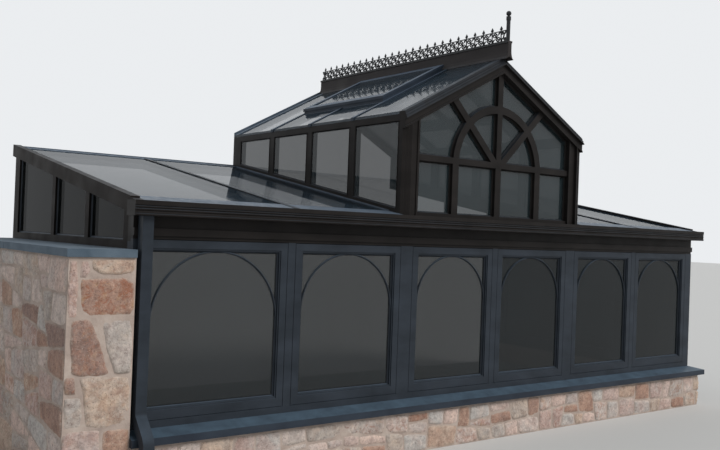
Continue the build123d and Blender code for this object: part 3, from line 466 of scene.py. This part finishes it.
NODE_MATERIALS = {
    "floor_slab": FLAGS,
    "knee_wall_front": MORTAR,
    "knee_wall_right": MORTAR,
    "end_wall_left": MORTAR,
    "coping_left": COPING,
    "sill_front": BRONZE_SILL_SKY_LIT,
    "sill_right": BRONZE_SILL_SKY_LIT,
    "front_glass": GLASS_FRONT,
    "left_end_glass": GLASS_END,
    "right_end_glass_lower": GLASS_END,
    "right_end_glass_upper": GLASS_END,
    "lean_to_glass": GLASS_LEAN_TO,
    "gable_roof_glass": GLASS_ROOF,
    "roof_vent_glass": GLASS_ROOF,
    "clerestory_glass": GLASS_UPPER,
    "gable_glass": GLASS_UPPER,
    "wall_flashings": LEAD,
    "eave_flashings": LEAD,
    "gable_glazing_caps": BRONZE_ROOF_SKY_LIT,
    "roof_vent_left": BRONZE_ROOF_SKY_LIT,
    "roof_vent_right": BRONZE_ROOF_SKY_LIT,
    "ridge_cap": BRONZE_CAP,
    "left_end_frame": BRONZE_END_SHADED,
    "rake_beam_left": BRONZE_END_SHADED,
    "cresting": CAST,
    "finial": CAST,
}


# Framing above the front windows, which gets the darker, browner copy of the paint as painted shade
SHADED_FRAMING = (
    "header_beam", "gutter", "rake_beam_right", "clerestory_frame_left", "clerestory_frame_right",
    "clerestory_kerbs", "gable_corner_posts", "gable_fanlight", "gable_mullions", "gable_rafters",
    "gable_rake_trim", "gable_sill", "gable_transom", "ridge_beam", "lean_to_bars", "wall_plates",
)


def dress_nodes():
    for name, node in NODES.items():
        material = NODE_MATERIALS.get(name, BRONZE_SHADED if name in SHADED_FRAMING else BRONZE)
        node.data.materials.clear()
        node.data.materials.append(material)


# Pieces


def add_piece(name, points, polygons, material, smooth=False):
    """A mesh object that rides on the one body."""
    mesh = bpy.data.meshes.new(name)
    mesh.from_pydata([tuple(p) for p in points], [], polygons)
    mesh.materials.append(material)
    mesh.update()
    piece = bpy.data.objects.new(name, mesh)
    bpy.context.scene.collection.objects.link(piece)
    if smooth:
        mesh.polygons.foreach_set("use_smooth", [True] * len(mesh.polygons))
    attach(piece, "root")
    return piece


class Parts:
    """Points and polygons of many small shapes that become one mesh."""

    def __init__(self):
        self.points = []
        self.polygons = []

    def add(self, points, polygons):
        base = len(self.points)
        self.points.extend(points)
        self.polygons.extend([tuple(base + i for i in polygon) for polygon in polygons])

    def sweep(self, rows, closed):
        """Skin a list of equal cross-sections; closed joins the last one to the first."""
        count = len(rows[0])
        points = [p for row in rows for p in row]
        polygons = []
        spans = len(rows) if closed else len(rows) - 1
        for i in range(spans):
            a = i * count
            b = ((i + 1) % len(rows)) * count
            for j in range(count):
                k = (j + 1) % count
                polygons.append((a + j, a + k, b + k, b + j))
        if not closed:
            polygons.append(tuple(range(count - 1, -1, -1)))
            polygons.append(tuple((len(rows) - 1) * count + j for j in range(count)))
        self.add(points, polygons)

    def piece(self, name, material, slot, smooth=False):
        return add_piece(name, self.points, self.polygons, material, smooth)


def pane_outlines(node):
    """Both large faces of each pane of a node: (outward normal, ordered corners)."""
    shape = bmesh.new()
    shape.from_mesh(NODES[node].data)
    bmesh.ops.remove_doubles(shape, verts=shape.verts, dist=WELD)
    flat = math.radians(FLAT_ANGLE)
    bmesh.ops.dissolve_limit(shape, angle_limit=flat, verts=shape.verts, edges=shape.edges)
    shape.faces.ensure_lookup_table()
    seen = set()
    outlines = []
    for start in shape.faces:
        if start in seen:
            continue
        group = []
        queue = [start]
        seen.add(start)
        while queue:
            face = queue.pop()
            group.append(face)
            for edge in face.edges:
                for other in edge.link_faces:
                    if other not in seen:
                        seen.add(other)
                        queue.append(other)
        group.sort(key=lambda face: -face.calc_area())
        for face in group[:2]:
            outlines.append((face.normal.copy(), [v.co.copy() for v in face.verts]))
    shape.free()
    return outlines


def inset_directions(corners, normal):
    """For each corner of an outline, the step that moves it one unit inside both of its edges."""
    steps = []
    count = len(corners)
    for i in range(count):
        before = (corners[i] - corners[i - 1]).normalized()
        after = (corners[(i + 1) % count] - corners[i]).normalized()
        first = normal.cross(before)
        second = normal.cross(after)
        share = 1 + first.dot(second)
        steps.append((first + second) / max(share, 0.25))
    return steps


def edge_strips(parts, outlines, profile):
    """Run a profile of (inset, height) points round the inside of each outline."""
    for normal, corners in outlines:
        steps = inset_directions(corners, normal)
        rows = []
        for corner, step in zip(corners, steps):
            rows.append([corner + step * inset + normal * height for inset, height in profile])
        parts.sweep(rows, closed=True)


def bead_profile(width, rise):
    return [(0, STRIP_FOOT), (0, rise), (width * 0.35, rise), (width, rise * 0.2), (width, STRIP_FOOT)]


def gasket_profile(width, rise, strip):
    return [(width, STRIP_FOOT), (width, rise), (width + strip, rise * 0.4), (width + strip, STRIP_FOOT)]


def glazing_strips():
    beads = Parts()
    gaskets = Parts()
    for node in ("front_glass", "left_end_glass", "right_end_glass_lower", "right_end_glass_upper"):
        outlines = pane_outlines(node)
        edge_strips(beads, outlines, bead_profile(BEAD_WIDTH, BEAD_RISE))
        edge_strips(gaskets, outlines, gasket_profile(BEAD_WIDTH, GASKET_RISE, GASKET_WIDTH))
    beads.piece("glazing_beads_lower", BRONZE, "bronze_frame")
    gaskets.piece("gaskets_lower", RUBBER, "bronze_frame")
    beads = Parts()
    gaskets = Parts()
    for node in ("clerestory_glass", "gable_glass"):
        outlines = pane_outlines(node)
        edge_strips(beads, outlines, bead_profile(UPPER_BEAD, BEAD_RISE))
        edge_strips(gaskets, outlines, gasket_profile(UPPER_BEAD, GASKET_RISE, GASKET_WIDTH))
    beads.piece("glazing_beads_upper", BRONZE_SHADED, "bronze_frame")
    gaskets.piece("gaskets_upper", RUBBER, "bronze_frame")


def window_arches():
    """A round arched bar in each front window, from stile to stile and up to the head rail."""
    parts = Parts()
    front = Vector((0, -1, 0))
    reach = math.radians(ARCH_END)
    for normal, corners in pane_outlines("front_glass"):
        if normal.dot(front) < 0.5:
            continue
        x0 = min(c.x for c in corners)
        x1 = max(c.x for c in corners)
        top = max(c.z for c in corners)
        y = corners[0].y
        radius = (x1 - x0) / 2 - ARCH_BAR / 2 + ARCH_LAP
        middle = (x0 + x1) / 2
        centre_z = top - radius - ARCH_BAR / 2 + ARCH_LAP
        profile = [
            (-ARCH_BAR / 2, 0.0),
            (-ARCH_BAR / 2, ARCH_DEPTH * 0.55),
            (-ARCH_BAR / 5, ARCH_DEPTH),
            (ARCH_BAR / 5, ARCH_DEPTH),
            (ARCH_BAR / 2, ARCH_DEPTH * 0.55),
            (ARCH_BAR / 2, 0.0),
        ]
        rows = []
        for i in range(ARCH_STEPS + 1):
            angle = -reach + 2 * reach * i / ARCH_STEPS
            row = []
            for offset, depth in profile:
                r = radius + offset
                row.append(Vector((middle + r * math.sin(angle), y - depth, centre_z + r * math.cos(angle))))
            rows.append(row)
        parts.sweep(rows, closed=False)
    parts.piece("window_arches", BRONZE, "bronze_frame")


def flashing_sheets():
    """The flashings along the back, with only a low edge of the upstand above the apron."""
    glass_low, glass_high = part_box("lean_to_glass")
    lean = (glass_high.z - glass_low.z - PANE_THICKNESS) / (glass_high.y - glass_low.y)
    shape = bmesh.new()
    shape.from_mesh(NODES["wall_flashings"].data)
    bmesh.ops.remove_doubles(shape, verts=shape.verts, dist=WELD)
    wall = max(v.co.y for v in shape.verts)
    waiting = set(shape.verts)
    while waiting:
        run = [waiting.pop()]
        for vert in run:
            for edge in vert.link_edges:
                other = edge.other_vert(vert)
                if other in waiting:
                    waiting.remove(other)
                    run.append(other)
        apron = [v for v in run if v.co.y < wall - APRON_DEPTH / 2]
        low = min(apron, key=lambda v: v.co.x).co
        high = max(apron, key=lambda v: v.co.x).co
        rise = (high.z - low.z) / (high.x - low.x)
        level = abs(rise) < LEVEL_RISE
        shown = FLASHING_SHOWN if level else GABLE_FLASHING_SHOWN
        middle = low.z + FLASHING_UPSTAND / 2 + (lean * APRON_DEPTH if level else 0.0)
        for v in run:
            along = 0.0 if level else rise * (v.co.x - low.x)
            if v not in apron and v.co.z > middle + along:
                v.co.z -= FLASHING_UPSTAND - shown
    points = [v.co.copy() for v in shape.verts]
    shape.verts.index_update()
    polygons = [tuple(v.index for v in face.verts) for face in shape.faces]
    shape.free()
    piece = add_piece("flashing_sheets", points, polygons, LEAD)
    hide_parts("wall_flashings")


def ridge_lip():
    """Black edge strips along both sides of the ridge cap's top."""
    low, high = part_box("ridge_cap")
    middle = (low.x + high.x) / 2
    parts = Parts()
    for side in (-1, 1):
        inner = middle + side * (LIP_HALF - LIP_INSIDE)
        outer = middle + side * (LIP_HALF + LIP_OUTSIDE)
        foot = high.z - LIP_HEIGHT
        top = high.z + LIP_RISE
        rows = []
        for y in (low.y + LIP_RISE, high.y):
            corners = ((inner, foot), (outer, foot), (outer, top), (inner, top))
            rows.append([Vector((x, y, z)) for x, z in corners])
        parts.sweep(rows, closed=False)
    parts.piece("ridge_lip", CAST, "cast_crest")


# Stonework


def clip(polygon, point, normal):
    """Keep the side of a convex polygon that lies against the normal's direction."""
    kept = []
    count = len(polygon)
    for i in range(count):
        a = polygon[i]
        b = polygon[(i + 1) % count]
        da = (a[0] - point[0]) * normal[0] + (a[1] - point[1]) * normal[1]
        db = (b[0] - point[0]) * normal[0] + (b[1] - point[1]) * normal[1]
        if da <= 0:
            kept.append(a)
        if (da < 0 < db) or (db < 0 < da):
            t = da / (da - db)
            kept.append((a[0] + (b[0] - a[0]) * t, a[1] + (b[1] - a[1]) * t))
    return kept


def cut_in_two(block, point, normal):
    """Both sides of a convex block along a line, each less half the mortar."""
    half_gap = MORTAR_GAP / 2
    back = (point[0] - normal[0] * half_gap, point[1] - normal[1] * half_gap)
    ahead = (point[0] + normal[0] * half_gap, point[1] + normal[1] * half_gap)
    return [clip(block, back, normal), clip(block, ahead, (-normal[0], -normal[1]))]


def rubble(draw, width, height, row_height, stone_width):
    """Random rubble: slanting cuts split the wall until every stone has about its size."""
    edge = MORTAR_GAP / 2
    waiting = [[(edge, edge), (width - edge, edge), (width - edge, height - edge), (edge, height - edge)]]
    stones = []
    while waiting:
        block = waiting.pop()
        if len(block) < 3:
            continue
        us = [p[0] for p in block]
        vs = [p[1] for p in block]
        wide = (max(us) - min(us)) / stone_width
        tall = (max(vs) - min(vs)) / row_height
        if max(wide, tall) < draw.uniform(1.15, 1.9):
            if polygon_area(block) > SMALLEST_STONE:
                stones.append(block)
            continue
        share = draw.uniform(0.34, 0.66)
        slant = draw.gauss(0, 0.14)
        if wide > tall * draw.uniform(0.85, 1.4):
            point = (min(us) + (max(us) - min(us)) * share, (min(vs) + max(vs)) / 2)
            normal = (math.cos(slant), math.sin(slant))
        else:
            point = ((min(us) + max(us)) / 2, min(vs) + (max(vs) - min(vs)) * share)
            normal = (math.sin(slant * 0.6), math.cos(slant * 0.6))
        waiting.extend(cut_in_two(block, point, normal))
    return stones


def polygon_area(polygon):
    total = 0.0
    for (x0, z0), (x1, z1) in zip(polygon, polygon[1:] + polygon[:1]):
        total += x0 * z1 - x1 * z0
    return abs(total) / 2


def weathered(polygon, draw, step):
    """Break the corners of a stone's outline, let it grow a little and roughen its edge."""
    for low, high in ((0.03, 0.13), (0.14, 0.22)):
        cut = []
        for (x0, z0), (x1, z1) in zip(polygon, polygon[1:] + polygon[:1]):
            for t in (draw.uniform(low, high), 1 - draw.uniform(low, high)):
                cut.append((x0 + (x1 - x0) * t, z0 + (z1 - z0) * t))
        polygon = cut
    outline = []
    for (x0, z0), (x1, z1) in zip(polygon, polygon[1:] + polygon[:1]):
        length = math.hypot(x1 - x0, z1 - z0)
        pieces = max(1, round(length / step))
        for k in range(pieces):
            t = k / pieces
            outline.append((x0 + (x1 - x0) * t, z0 + (z1 - z0) * t))
    seed = draw.uniform(0, 90)
    moved = []
    cx = sum(p[0] for p in outline) / len(outline)
    cz = sum(p[1] for p in outline) / len(outline)
    for x, z in outline:
        wobble = STONE_GROWTH + noise.noise(Vector((x * 26, z * 26, seed))) * 0.006
        wobble += noise.noise(Vector((x * 9, z * 9, seed))) * 0.008
        length = math.hypot(x - cx, z - cz) or 1.0
        moved.append((x + (x - cx) / length * wobble, z + (z - cz) / length * wobble))
    return moved


def distance_to_outline(points, outline):
    """Distance from each point to the nearest edge of an outline, and whether it lies inside."""
    p = np.asarray(points)[:, None, :]
    a = np.asarray(outline)[None, :, :]
    b = np.roll(a, -1, axis=1)
    ab = b - a
    t = np.clip(((p - a) * ab).sum(2) / np.maximum((ab * ab).sum(2), 1e-12), 0, 1)
    nearest = a + ab * t[..., None]
    distance = np.sqrt(((p - nearest) ** 2).sum(2)).min(1)
    above = (a[..., 1] > p[..., 1]) != (b[..., 1] > p[..., 1])
    slope = ab[..., 0] * (p[..., 1] - a[..., 1]) / np.where(ab[..., 1] == 0, 1e-12, ab[..., 1]) + a[..., 0]
    inside = ((p[..., 0] < slope) & above).sum(1) % 2 == 1
    return distance, inside


class StoneWall:
    """Collects the stones of one wall; place(u, v, h) gives the point h proud of the wall at (u, v)."""

    def __init__(self, place, draw, span, step=STONE_STEP, proud=STONE_PROUD):
        self.place = place
        self.draw = draw
        self.start = span[0] + STONE_EDGE
        self.end = span[1] - STONE_EDGE
        self.step = step
        self.proud = proud
        self.parts = Parts()
        self.tints = []
        self.rims = []
        self.stains = []

    def lay(self, polygon, tint=None, stain=None):
        draw = self.draw
        step = self.step
        if stain is None:
            stain = draw.choice((0.0, 0.0, 0.1, 0.2, 0.6))
        outline = [
            (min(max(u, self.start), self.end), max(v, STONE_EDGE)) for u, v in weathered(polygon, draw, step)
        ]
        us = [p[0] for p in outline]
        vs = [p[1] for p in outline]
        grid = []
        v = min(vs)
        odd = False
        while v < max(vs):
            u = min(us) + (step / 2 if odd else 0)
            while u < max(us):
                grid.append((u + draw.uniform(-0.2, 0.2) * step, v + draw.uniform(-0.2, 0.2) * step))
                u += step
            v += step * 0.87
            odd = not odd
        shoulder = []
        count = len(outline)
        cu = sum(us) / count
        cv = sum(vs) / count
        for u, v in outline:
            length = math.hypot(u - cu, v - cv) or 1.0
            shoulder.append((u - (u - cu) / length * STONE_SHOULDER, v - (v - cv) / length * STONE_SHOULDER))
        inner = []
        if grid:
            distance, inside = distance_to_outline(grid, outline)
            inner = [g for g, d, i in zip(grid, distance, inside) if i and d > 0.6 * step]
        flat = [Vector(p) for p in outline + shoulder + inner]
        edges = [(i, (i + 1) % count) for i in range(count)]
        points, _, faces, _, _, _ = delaunay_2d_cdt(flat, edges, [], 1, 1e-6)
        points = [(p.x, p.y) for p in points]
        distance, _ = distance_to_outline(points, outline)
        tilt_u = draw.uniform(-0.05, 0.05)
        tilt_v = draw.uniform(-0.06, 0.06)
        seed = draw.uniform(0, 200)
        swell = draw.uniform(0.75, 1.25)
        tint = draw.random() if tint is None else tint
        solid = []
        for (u, v), d in zip(points, distance):
            body = 1 - math.exp(-d / 0.006)
            crown = 1 - math.exp(-d / 0.05)
            rough = noise.noise(Vector((u * 18, v * 18, seed))) * 0.0045
            rough += noise.noise(Vector((u * 55, v * 55, seed + 9))) * 0.0022
            h = STONE_ROOT + body * (self.proud * 0.6 * swell - STONE_ROOT)
            h += body * (crown * self.proud * 0.35 + rough + tilt_u * (u - cu) + tilt_v * (v - cv))
            solid.append(self.place(u, max(v, STONE_EDGE), min(h, self.proud * STONE_LIMIT)))
            self.tints.append(tint)
            self.rims.append(max(0.0, 1 - d / 0.014))
            self.stains.append(stain)
        self.parts.add(solid, [tuple(f) for f in faces])

    def piece(self, name):
        piece = self.parts.piece(name, STONE, "fieldstone", smooth=True)
        for label, values in (("tint", self.tints), ("rim", self.rims), ("stain", self.stains)):
            attribute = piece.data.attributes.new(label, "FLOAT", "POINT")
            attribute.data.foreach_set("value", values)
        return piece


def folded(corner, first, second, reach=FOLD_REACH):
    """Mapping for two walls that meet at a corner: u runs along the first below 0 and the second above 0."""
    up = Vector((0, 0, 1))
    out_first = first.cross(up)
    out_second = second.cross(up)

    def place(u, v, h):
        share = min(1.0, max(0.0, (u + reach) / (2 * reach)))
        share = share * share * (3 - 2 * share)
        out = (out_first * (1 - share) + out_second * share).normalized()
        if abs(u) < reach:
            out = out * (1 + 0.25 * (1 - abs(u) / reach))
        along = first * u if u < 0 else second * u
        return corner + along + up * v + out * h

    return place


def straight(origin, along, out):
    up = Vector((0, 0, 1))

    def place(u, v, h):
        return origin + along * u + up * v + out * h

    return place


# The pier's front stones: palette place, share of rust, and outline from the corner in metres (across, up).
# The first eight outlines were worked out from stone corners marked in the photograph, through the camera
# fit, and then partly moved. The last five are chosen.
PIER_STONES = [
    (0.66, 0.35, [(0.004, 1.275), (0.072, 1.277), (0.062, 1.645), (0.004, 1.64)]),
    (0.66, 0.3, [(0.08, 1.54), (0.12, 1.54), (0.145, 1.574), (0.13, 1.645), (0.088, 1.64)]),
    (0.27, 0.4, [(0.172, 1.595), (0.235, 1.558), (0.43, 1.564), (0.456, 1.6), (0.454, 1.662),
                 (0.162, 1.657)]),
    (0.12, 1.0, [(0.09, 1.46), (0.1, 1.32), (0.155, 1.284), (0.43, 1.284), (0.458, 1.32), (0.456, 1.49),
                 (0.39, 1.532), (0.2, 1.53), (0.094, 1.522)]),
    (0.04, 0.6, [(0.046, 0.9), (0.115, 0.88), (0.22, 0.876), (0.304, 0.886), (0.17, 1.256), (0.028, 1.256)]),
    (0.4, 0.1, [(0.272, 1.078), (0.34, 0.888), (0.454, 0.886), (0.458, 1.0), (0.454, 1.256),
                (0.32, 1.258), (0.24, 1.236)]),
    (0.03, 1.0, [(0.005, 0.767), (0.08, 0.763), (0.068, 0.872), (0.005, 0.876)]),
    (0.3, 0.35, [(0.14, 0.69), (0.155, 0.541), (0.27, 0.526), (0.454, 0.52), (0.459, 0.61), (0.458, 0.766),
                 (0.44, 0.856), (0.207, 0.868), (0.108, 0.854)]),
    (0.4, 0.1, [(0.005, 0.54), (0.132, 0.546), (0.116, 0.736), (0.005, 0.744)]),
    (0.7, 0.2, [(0.005, 0.27), (0.26, 0.28), (0.25, 0.504), (0.005, 0.516)]),
    (0.16, 0.5, [(0.284, 0.282), (0.456, 0.27), (0.456, 0.496), (0.272, 0.502)]),
    (0.56, 0.0, [(0.005, 0.01), (0.17, 0.01), (0.18, 0.25), (0.005, 0.246)]),
    (0.86, 0.2, [(0.196, 0.01), (0.456, 0.01), (0.456, 0.248), (0.206, 0.256)]),
]


def end_wall_stones():
    """Outer side and front of the left end wall, one strip folded at the pier's corner."""
    low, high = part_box("end_wall_left")
    draw = random.Random(END_SEED)
    corner = Vector((low.x, low.y, 0))
    place = folded(corner, Vector((0, -1, 0)), Vector((1, 0, 0)))
    depth = high.y - low.y
    height = high.z
    wall = StoneWall(place, draw, (-depth, high.x - low.x))
    for tint, stain, outline in PIER_STONES:
        wall.lay(outline, tint, stain)
    for stone in rubble(draw, depth, height, END_COURSE, END_STONE):
        wall.lay([(u - depth - END_CORNER_JOINT, v) for u, v in stone])
    wall.piece("end_wall_stones")
    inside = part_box("floor_slab")
    inner_x = inside[0].x
    draw = random.Random(INNER_SEED)
    back = high.y
    front = inside[0].y
    base = inside[1].z
    place = straight(Vector((inner_x, back, base)), Vector((0, -1, 0)), Vector((1, 0, 0)))
    wall = StoneWall(place, draw, (0.0, back - front), step=INNER_STEP, proud=INNER_PROUD)
    for stone in rubble(draw, back - front, height - base, END_COURSE, END_STONE):
        wall.lay(stone)
    wall.piece("end_wall_inner_stones")


def knee_wall_stones():
    """Front and right knee walls, one strip folded at the right corner."""
    low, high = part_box("knee_wall_front")
    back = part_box("knee_wall_right")[1].y
    draw = random.Random(KNEE_SEED)
    corner = Vector((high.x, low.y, 0))
    place = folded(corner, Vector((1, 0, 0)), Vector((0, 1, 0)))
    length = high.x - low.x
    depth = back - low.y
    height = high.z - KNEE_TOP_JOINT
    wall = StoneWall(place, draw, (-length, depth), step=KNEE_STEP)
    for stone in rubble(draw, length + depth, height, KNEE_COURSE, KNEE_STONE):
        wall.lay([(u - length, v) for u, v in stone])
    wall.piece("knee_wall_stones")


# Cresting


def tube(parts, path, radii, sides=6, out=Vector((1, 0, 0))):
    """A tapering bar along a path that lies in the plane across out."""
    rows = []
    count = len(path)
    for i, point in enumerate(path):
        ahead = path[min(i + 1, count - 1)] - path[max(i - 1, 0)]
        side = ahead.normalized().cross(out)
        r = radii[i] if isinstance(radii, list) else radii
        row = []
        for k in range(sides):
            angle = 2 * math.pi * k / sides
            row.append(point + side * (r * math.cos(angle)) + out * (r * math.sin(angle)))
        rows.append(row)
    parts.sweep(rows, closed=False)


def spiral(centre, start_radius, end_radius, start_angle, turn, steps):
    """Points of a flat spiral in the YZ plane."""
    path = []
    for i in range(steps + 1):
        t = i / steps
        r = start_radius + (end_radius - start_radius) * t
        angle = math.radians(start_angle + turn * t)
        path.append(centre + Vector((0, r * math.cos(angle), r * math.sin(angle))))
    return path


def curl(parts, end, towards, radius, turn):
    """A scroll that starts at a point in the given direction and winds in, by the sign of its turn."""
    ahead = towards.normalized()
    side = Vector((0, -ahead.z, ahead.y)) * (1 if turn > 0 else -1)
    centre = end + side * radius
    spoke = end - centre
    start = math.degrees(math.atan2(spoke.z, spoke.y))
    steps = 20
    path = spiral(centre, radius, radius * 0.28, start, turn, steps)
    tube(parts, path, [CREST_BAR * (1 - 0.3 * k / steps) for k in range(steps + 1)])
    tube(parts, spiral(path[-1], 0.001, 0.001, 0, 90, 2), CREST_BAR * 1.25)


def scroll_bay(parts, x, y0, y1, z0, z1):
    """One bay between spears: a slanting S with a curl at each end, and a leaf in each free corner."""
    wide = y1 - y0
    tall = z1 - z0
    radius = min(wide * 0.2, tall * 0.26)
    start = Vector((x, y0 + wide * 0.4, z0 + tall * 0.1))
    end = Vector((x, y1 - wide * 0.4, z1 - tall * 0.1))
    slope = Vector((0, wide * 0.5, tall))
    steps = 10
    path = []
    for k in range(steps + 1):
        t = k / steps
        ease = t * t * (3 - 2 * t)
        path.append(Vector((x, start.y + (end.y - start.y) * t + wide * 0.1 * math.sin(2 * math.pi * t),
                            start.z + (end.z - start.z) * (0.35 * ease + 0.65 * t))))
    tube(parts, path, CREST_BAR * 1.1)
    curl(parts, start, path[0] - path[1], radius, -430)
    curl(parts, end, path[-1] - path[-2], radius, -430)
    for corner, along in ((Vector((x, y0 + wide * 0.06, z1)), Vector((0, wide * 0.26, -tall * 0.34))),
                          (Vector((x, y1 - wide * 0.06, z0)), Vector((0, -wide * 0.26, tall * 0.34)))):
        tube(parts, [corner, corner + along * 0.45 + slope * 0.05, corner + along],
             [CREST_BAR, CREST_BAR * 1.5, CREST_BAR * 0.5])


def cresting():
    """Cast cresting: a base bar, a bay of scrolls between spears, and a thin rail under the spear heads."""
    low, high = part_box("cresting")
    x = (low.x + high.x) / 2
    half = min(CREST_HALF, (high.x - low.x) / 2)
    base = low.z
    rail = base + CREST_RAIL
    first = low.y + CREST_FIRST
    pitch = (high.y - first) / (CREST_SPEARS - 0.5)
    parts = Parts()
    for z0, z1 in ((base, base + CREST_BASE), (rail - CREST_RAIL_HALF, rail + CREST_RAIL_HALF)):
        rows = []
        for y in (low.y, high.y):
            corners = ((x - half, z0), (x + half, z0), (x + half, z1), (x - half, z1))
            rows.append([Vector((across, y, up)) for across, up in corners])
        parts.sweep(rows, closed=False)
    places = [first + pitch * i for i in range(CREST_SPEARS)]
    for y in places:
        foot = Vector((x, y, base))
        tube(parts, [foot, foot + Vector((0, 0, CREST_RAIL + CREST_STEM_RISE))], CREST_BAR)
        tip = high.z - base
        neck = CREST_RAIL + CREST_NECK
        shoulder = neck + SPEAR_SHOULDER
        waist = neck + SPEAR_WAIST
        spear = [
            (-0.4, neck), (0.4, neck), (1.0, shoulder), (0.72, waist),
            (0.0, tip), (-0.72, waist), (-1.0, shoulder),
        ]
        rows = []
        for side, share in ((-1, 0.55), (0, 1.0), (1, 0.55)):
            centre = Vector((x + side * half, y, base + neck + SPEAR_MIDDLE))
            row = []
            for across, up in spear:
                target = Vector((x + side * half, y + across * SPEAR_HALF, base + up))
                row.append(centre + (target - centre) * share)
            rows.append(row)
        parts.sweep(rows, closed=False)
    for y0, y1 in zip(places, places[1:]):
        scroll_bay(parts, x, y0, y1, base + CREST_BASE, rail - CREST_RAIL_HALF)
    scroll_bay(parts, x, low.y, first, base + CREST_BASE, rail - CREST_RAIL_HALF)
    scroll_bay(parts, x, places[-1], high.y - CREST_BACK, base + CREST_BASE, rail - CREST_RAIL_HALF)
    piece = parts.piece("cresting_scrolls", CAST, "cast_crest", smooth=True)
    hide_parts("cresting")


# Stage, light and camera


def stage():
    """Plain pale floor that reaches the horizon."""
    mesh = bpy.data.meshes.new("studio_floor")
    corners = [(x * FLOOR_HALF, y * FLOOR_HALF, -FLOOR_DROP) for x, y in ((-1, -1), (1, -1), (1, 1), (-1, 1))]
    mesh.from_pydata(corners, [], [(0, 1, 2, 3)])
    floor = bpy.data.objects.new("studio_floor", mesh)
    bpy.context.scene.collection.objects.link(floor)
    pale = Finish("studio_floor", roughness=0.85, specular=0.2)
    mesh.materials.append(pale.finish((0.62, 0.62, 0.61, 1.0)))


def world():
    """Soft studio light; what the camera, gloss and glass see is a pale backdrop."""
    sky = bpy.data.worlds.new("studio")
    bpy.context.scene.world = sky
    sky.use_nodes = True
    nodes = sky.node_tree.nodes
    links = sky.node_tree.links
    nodes.clear()
    output = nodes.new("ShaderNodeOutputWorld")
    light = nodes.new("ShaderNodeBackground")
    light.inputs["Color"].default_value = (0.93, 0.96, 1.0, 1.0)
    light.inputs["Strength"].default_value = WORLD_LIGHT
    shown = nodes.new("ShaderNodeBackground")
    shown.inputs["Color"].default_value = (0.83, 0.85, 0.87, 1.0)
    shown.inputs["Strength"].default_value = 1.0
    paths = nodes.new("ShaderNodeLightPath")
    seen = paths.outputs["Is Camera Ray"]
    for kind in ("Is Glossy Ray", "Is Transmission Ray"):
        more = nodes.new("ShaderNodeMath")
        more.operation = "MAXIMUM"
        links.new(seen, more.inputs[0])
        links.new(paths.outputs[kind], more.inputs[1])
        seen = more.outputs["Value"]
    mix = nodes.new("ShaderNodeMixShader")
    links.new(seen, mix.inputs["Fac"])
    links.new(light.outputs["Background"], mix.inputs[1])
    links.new(shown.outputs["Background"], mix.inputs[2])
    links.new(mix.outputs["Shader"], output.inputs["Surface"])


def sun(name, strength, angle, direction, colour):
    lamp = bpy.data.lights.new(name, "SUN")
    lamp.energy = strength
    lamp.angle = math.radians(angle)
    lamp.color = colour
    holder = bpy.data.objects.new(name, lamp)
    bpy.context.scene.collection.objects.link(holder)
    holder.rotation_euler = Vector(direction).to_track_quat("-Z", "Y").to_euler()
    holder.visible_glossy = False
    holder.visible_transmission = False


def lights():
    sun("key", 2.3, 35, (-0.4, 0.8, -0.7), (1.0, 0.985, 0.96))
    sun("fill", 0.06, 60, (0.9, 0.3, -0.5), (0.9, 0.95, 1.0))
    sun("back", 0.5, 60, (0.2, -0.9, -0.6), (0.95, 0.97, 1.0))


def camera():
    yaw = math.radians(CAMERA_YAW)
    pitch = math.radians(CAMERA_PITCH)
    roll = math.radians(CAMERA_ROLL)
    ahead = Vector((math.sin(yaw) * math.cos(pitch), math.cos(yaw) * math.cos(pitch), math.sin(pitch)))
    right = Vector((math.cos(yaw), -math.sin(yaw), 0))
    up = right.cross(ahead)
    image_right = right * math.cos(roll) + up * math.sin(roll)
    image_up = -right * math.sin(roll) + up * math.cos(roll)
    turn = Matrix((image_right, image_up, -ahead)).transposed()
    data = bpy.data.cameras.new("camera")
    data.sensor_width = SENSOR_WIDTH
    data.lens = FOCAL_PIXELS / IMAGE_WIDTH * SENSOR_WIDTH
    data.clip_end = CLIP_END
    holder = bpy.data.objects.new("camera", data)
    bpy.context.scene.collection.objects.link(holder)
    holder.matrix_world = Matrix.Translation(CAMERA_PLACE) @ turn.to_4x4()
    bpy.context.scene.camera = holder


bpy.context.scene.view_settings.view_transform = "Standard"
camera()
world()
lights()
stage()
dress_nodes()
glazing_strips()
window_arches()
flashing_sheets()
ridge_lip()
end_wall_stones()
knee_wall_stones()
cresting()
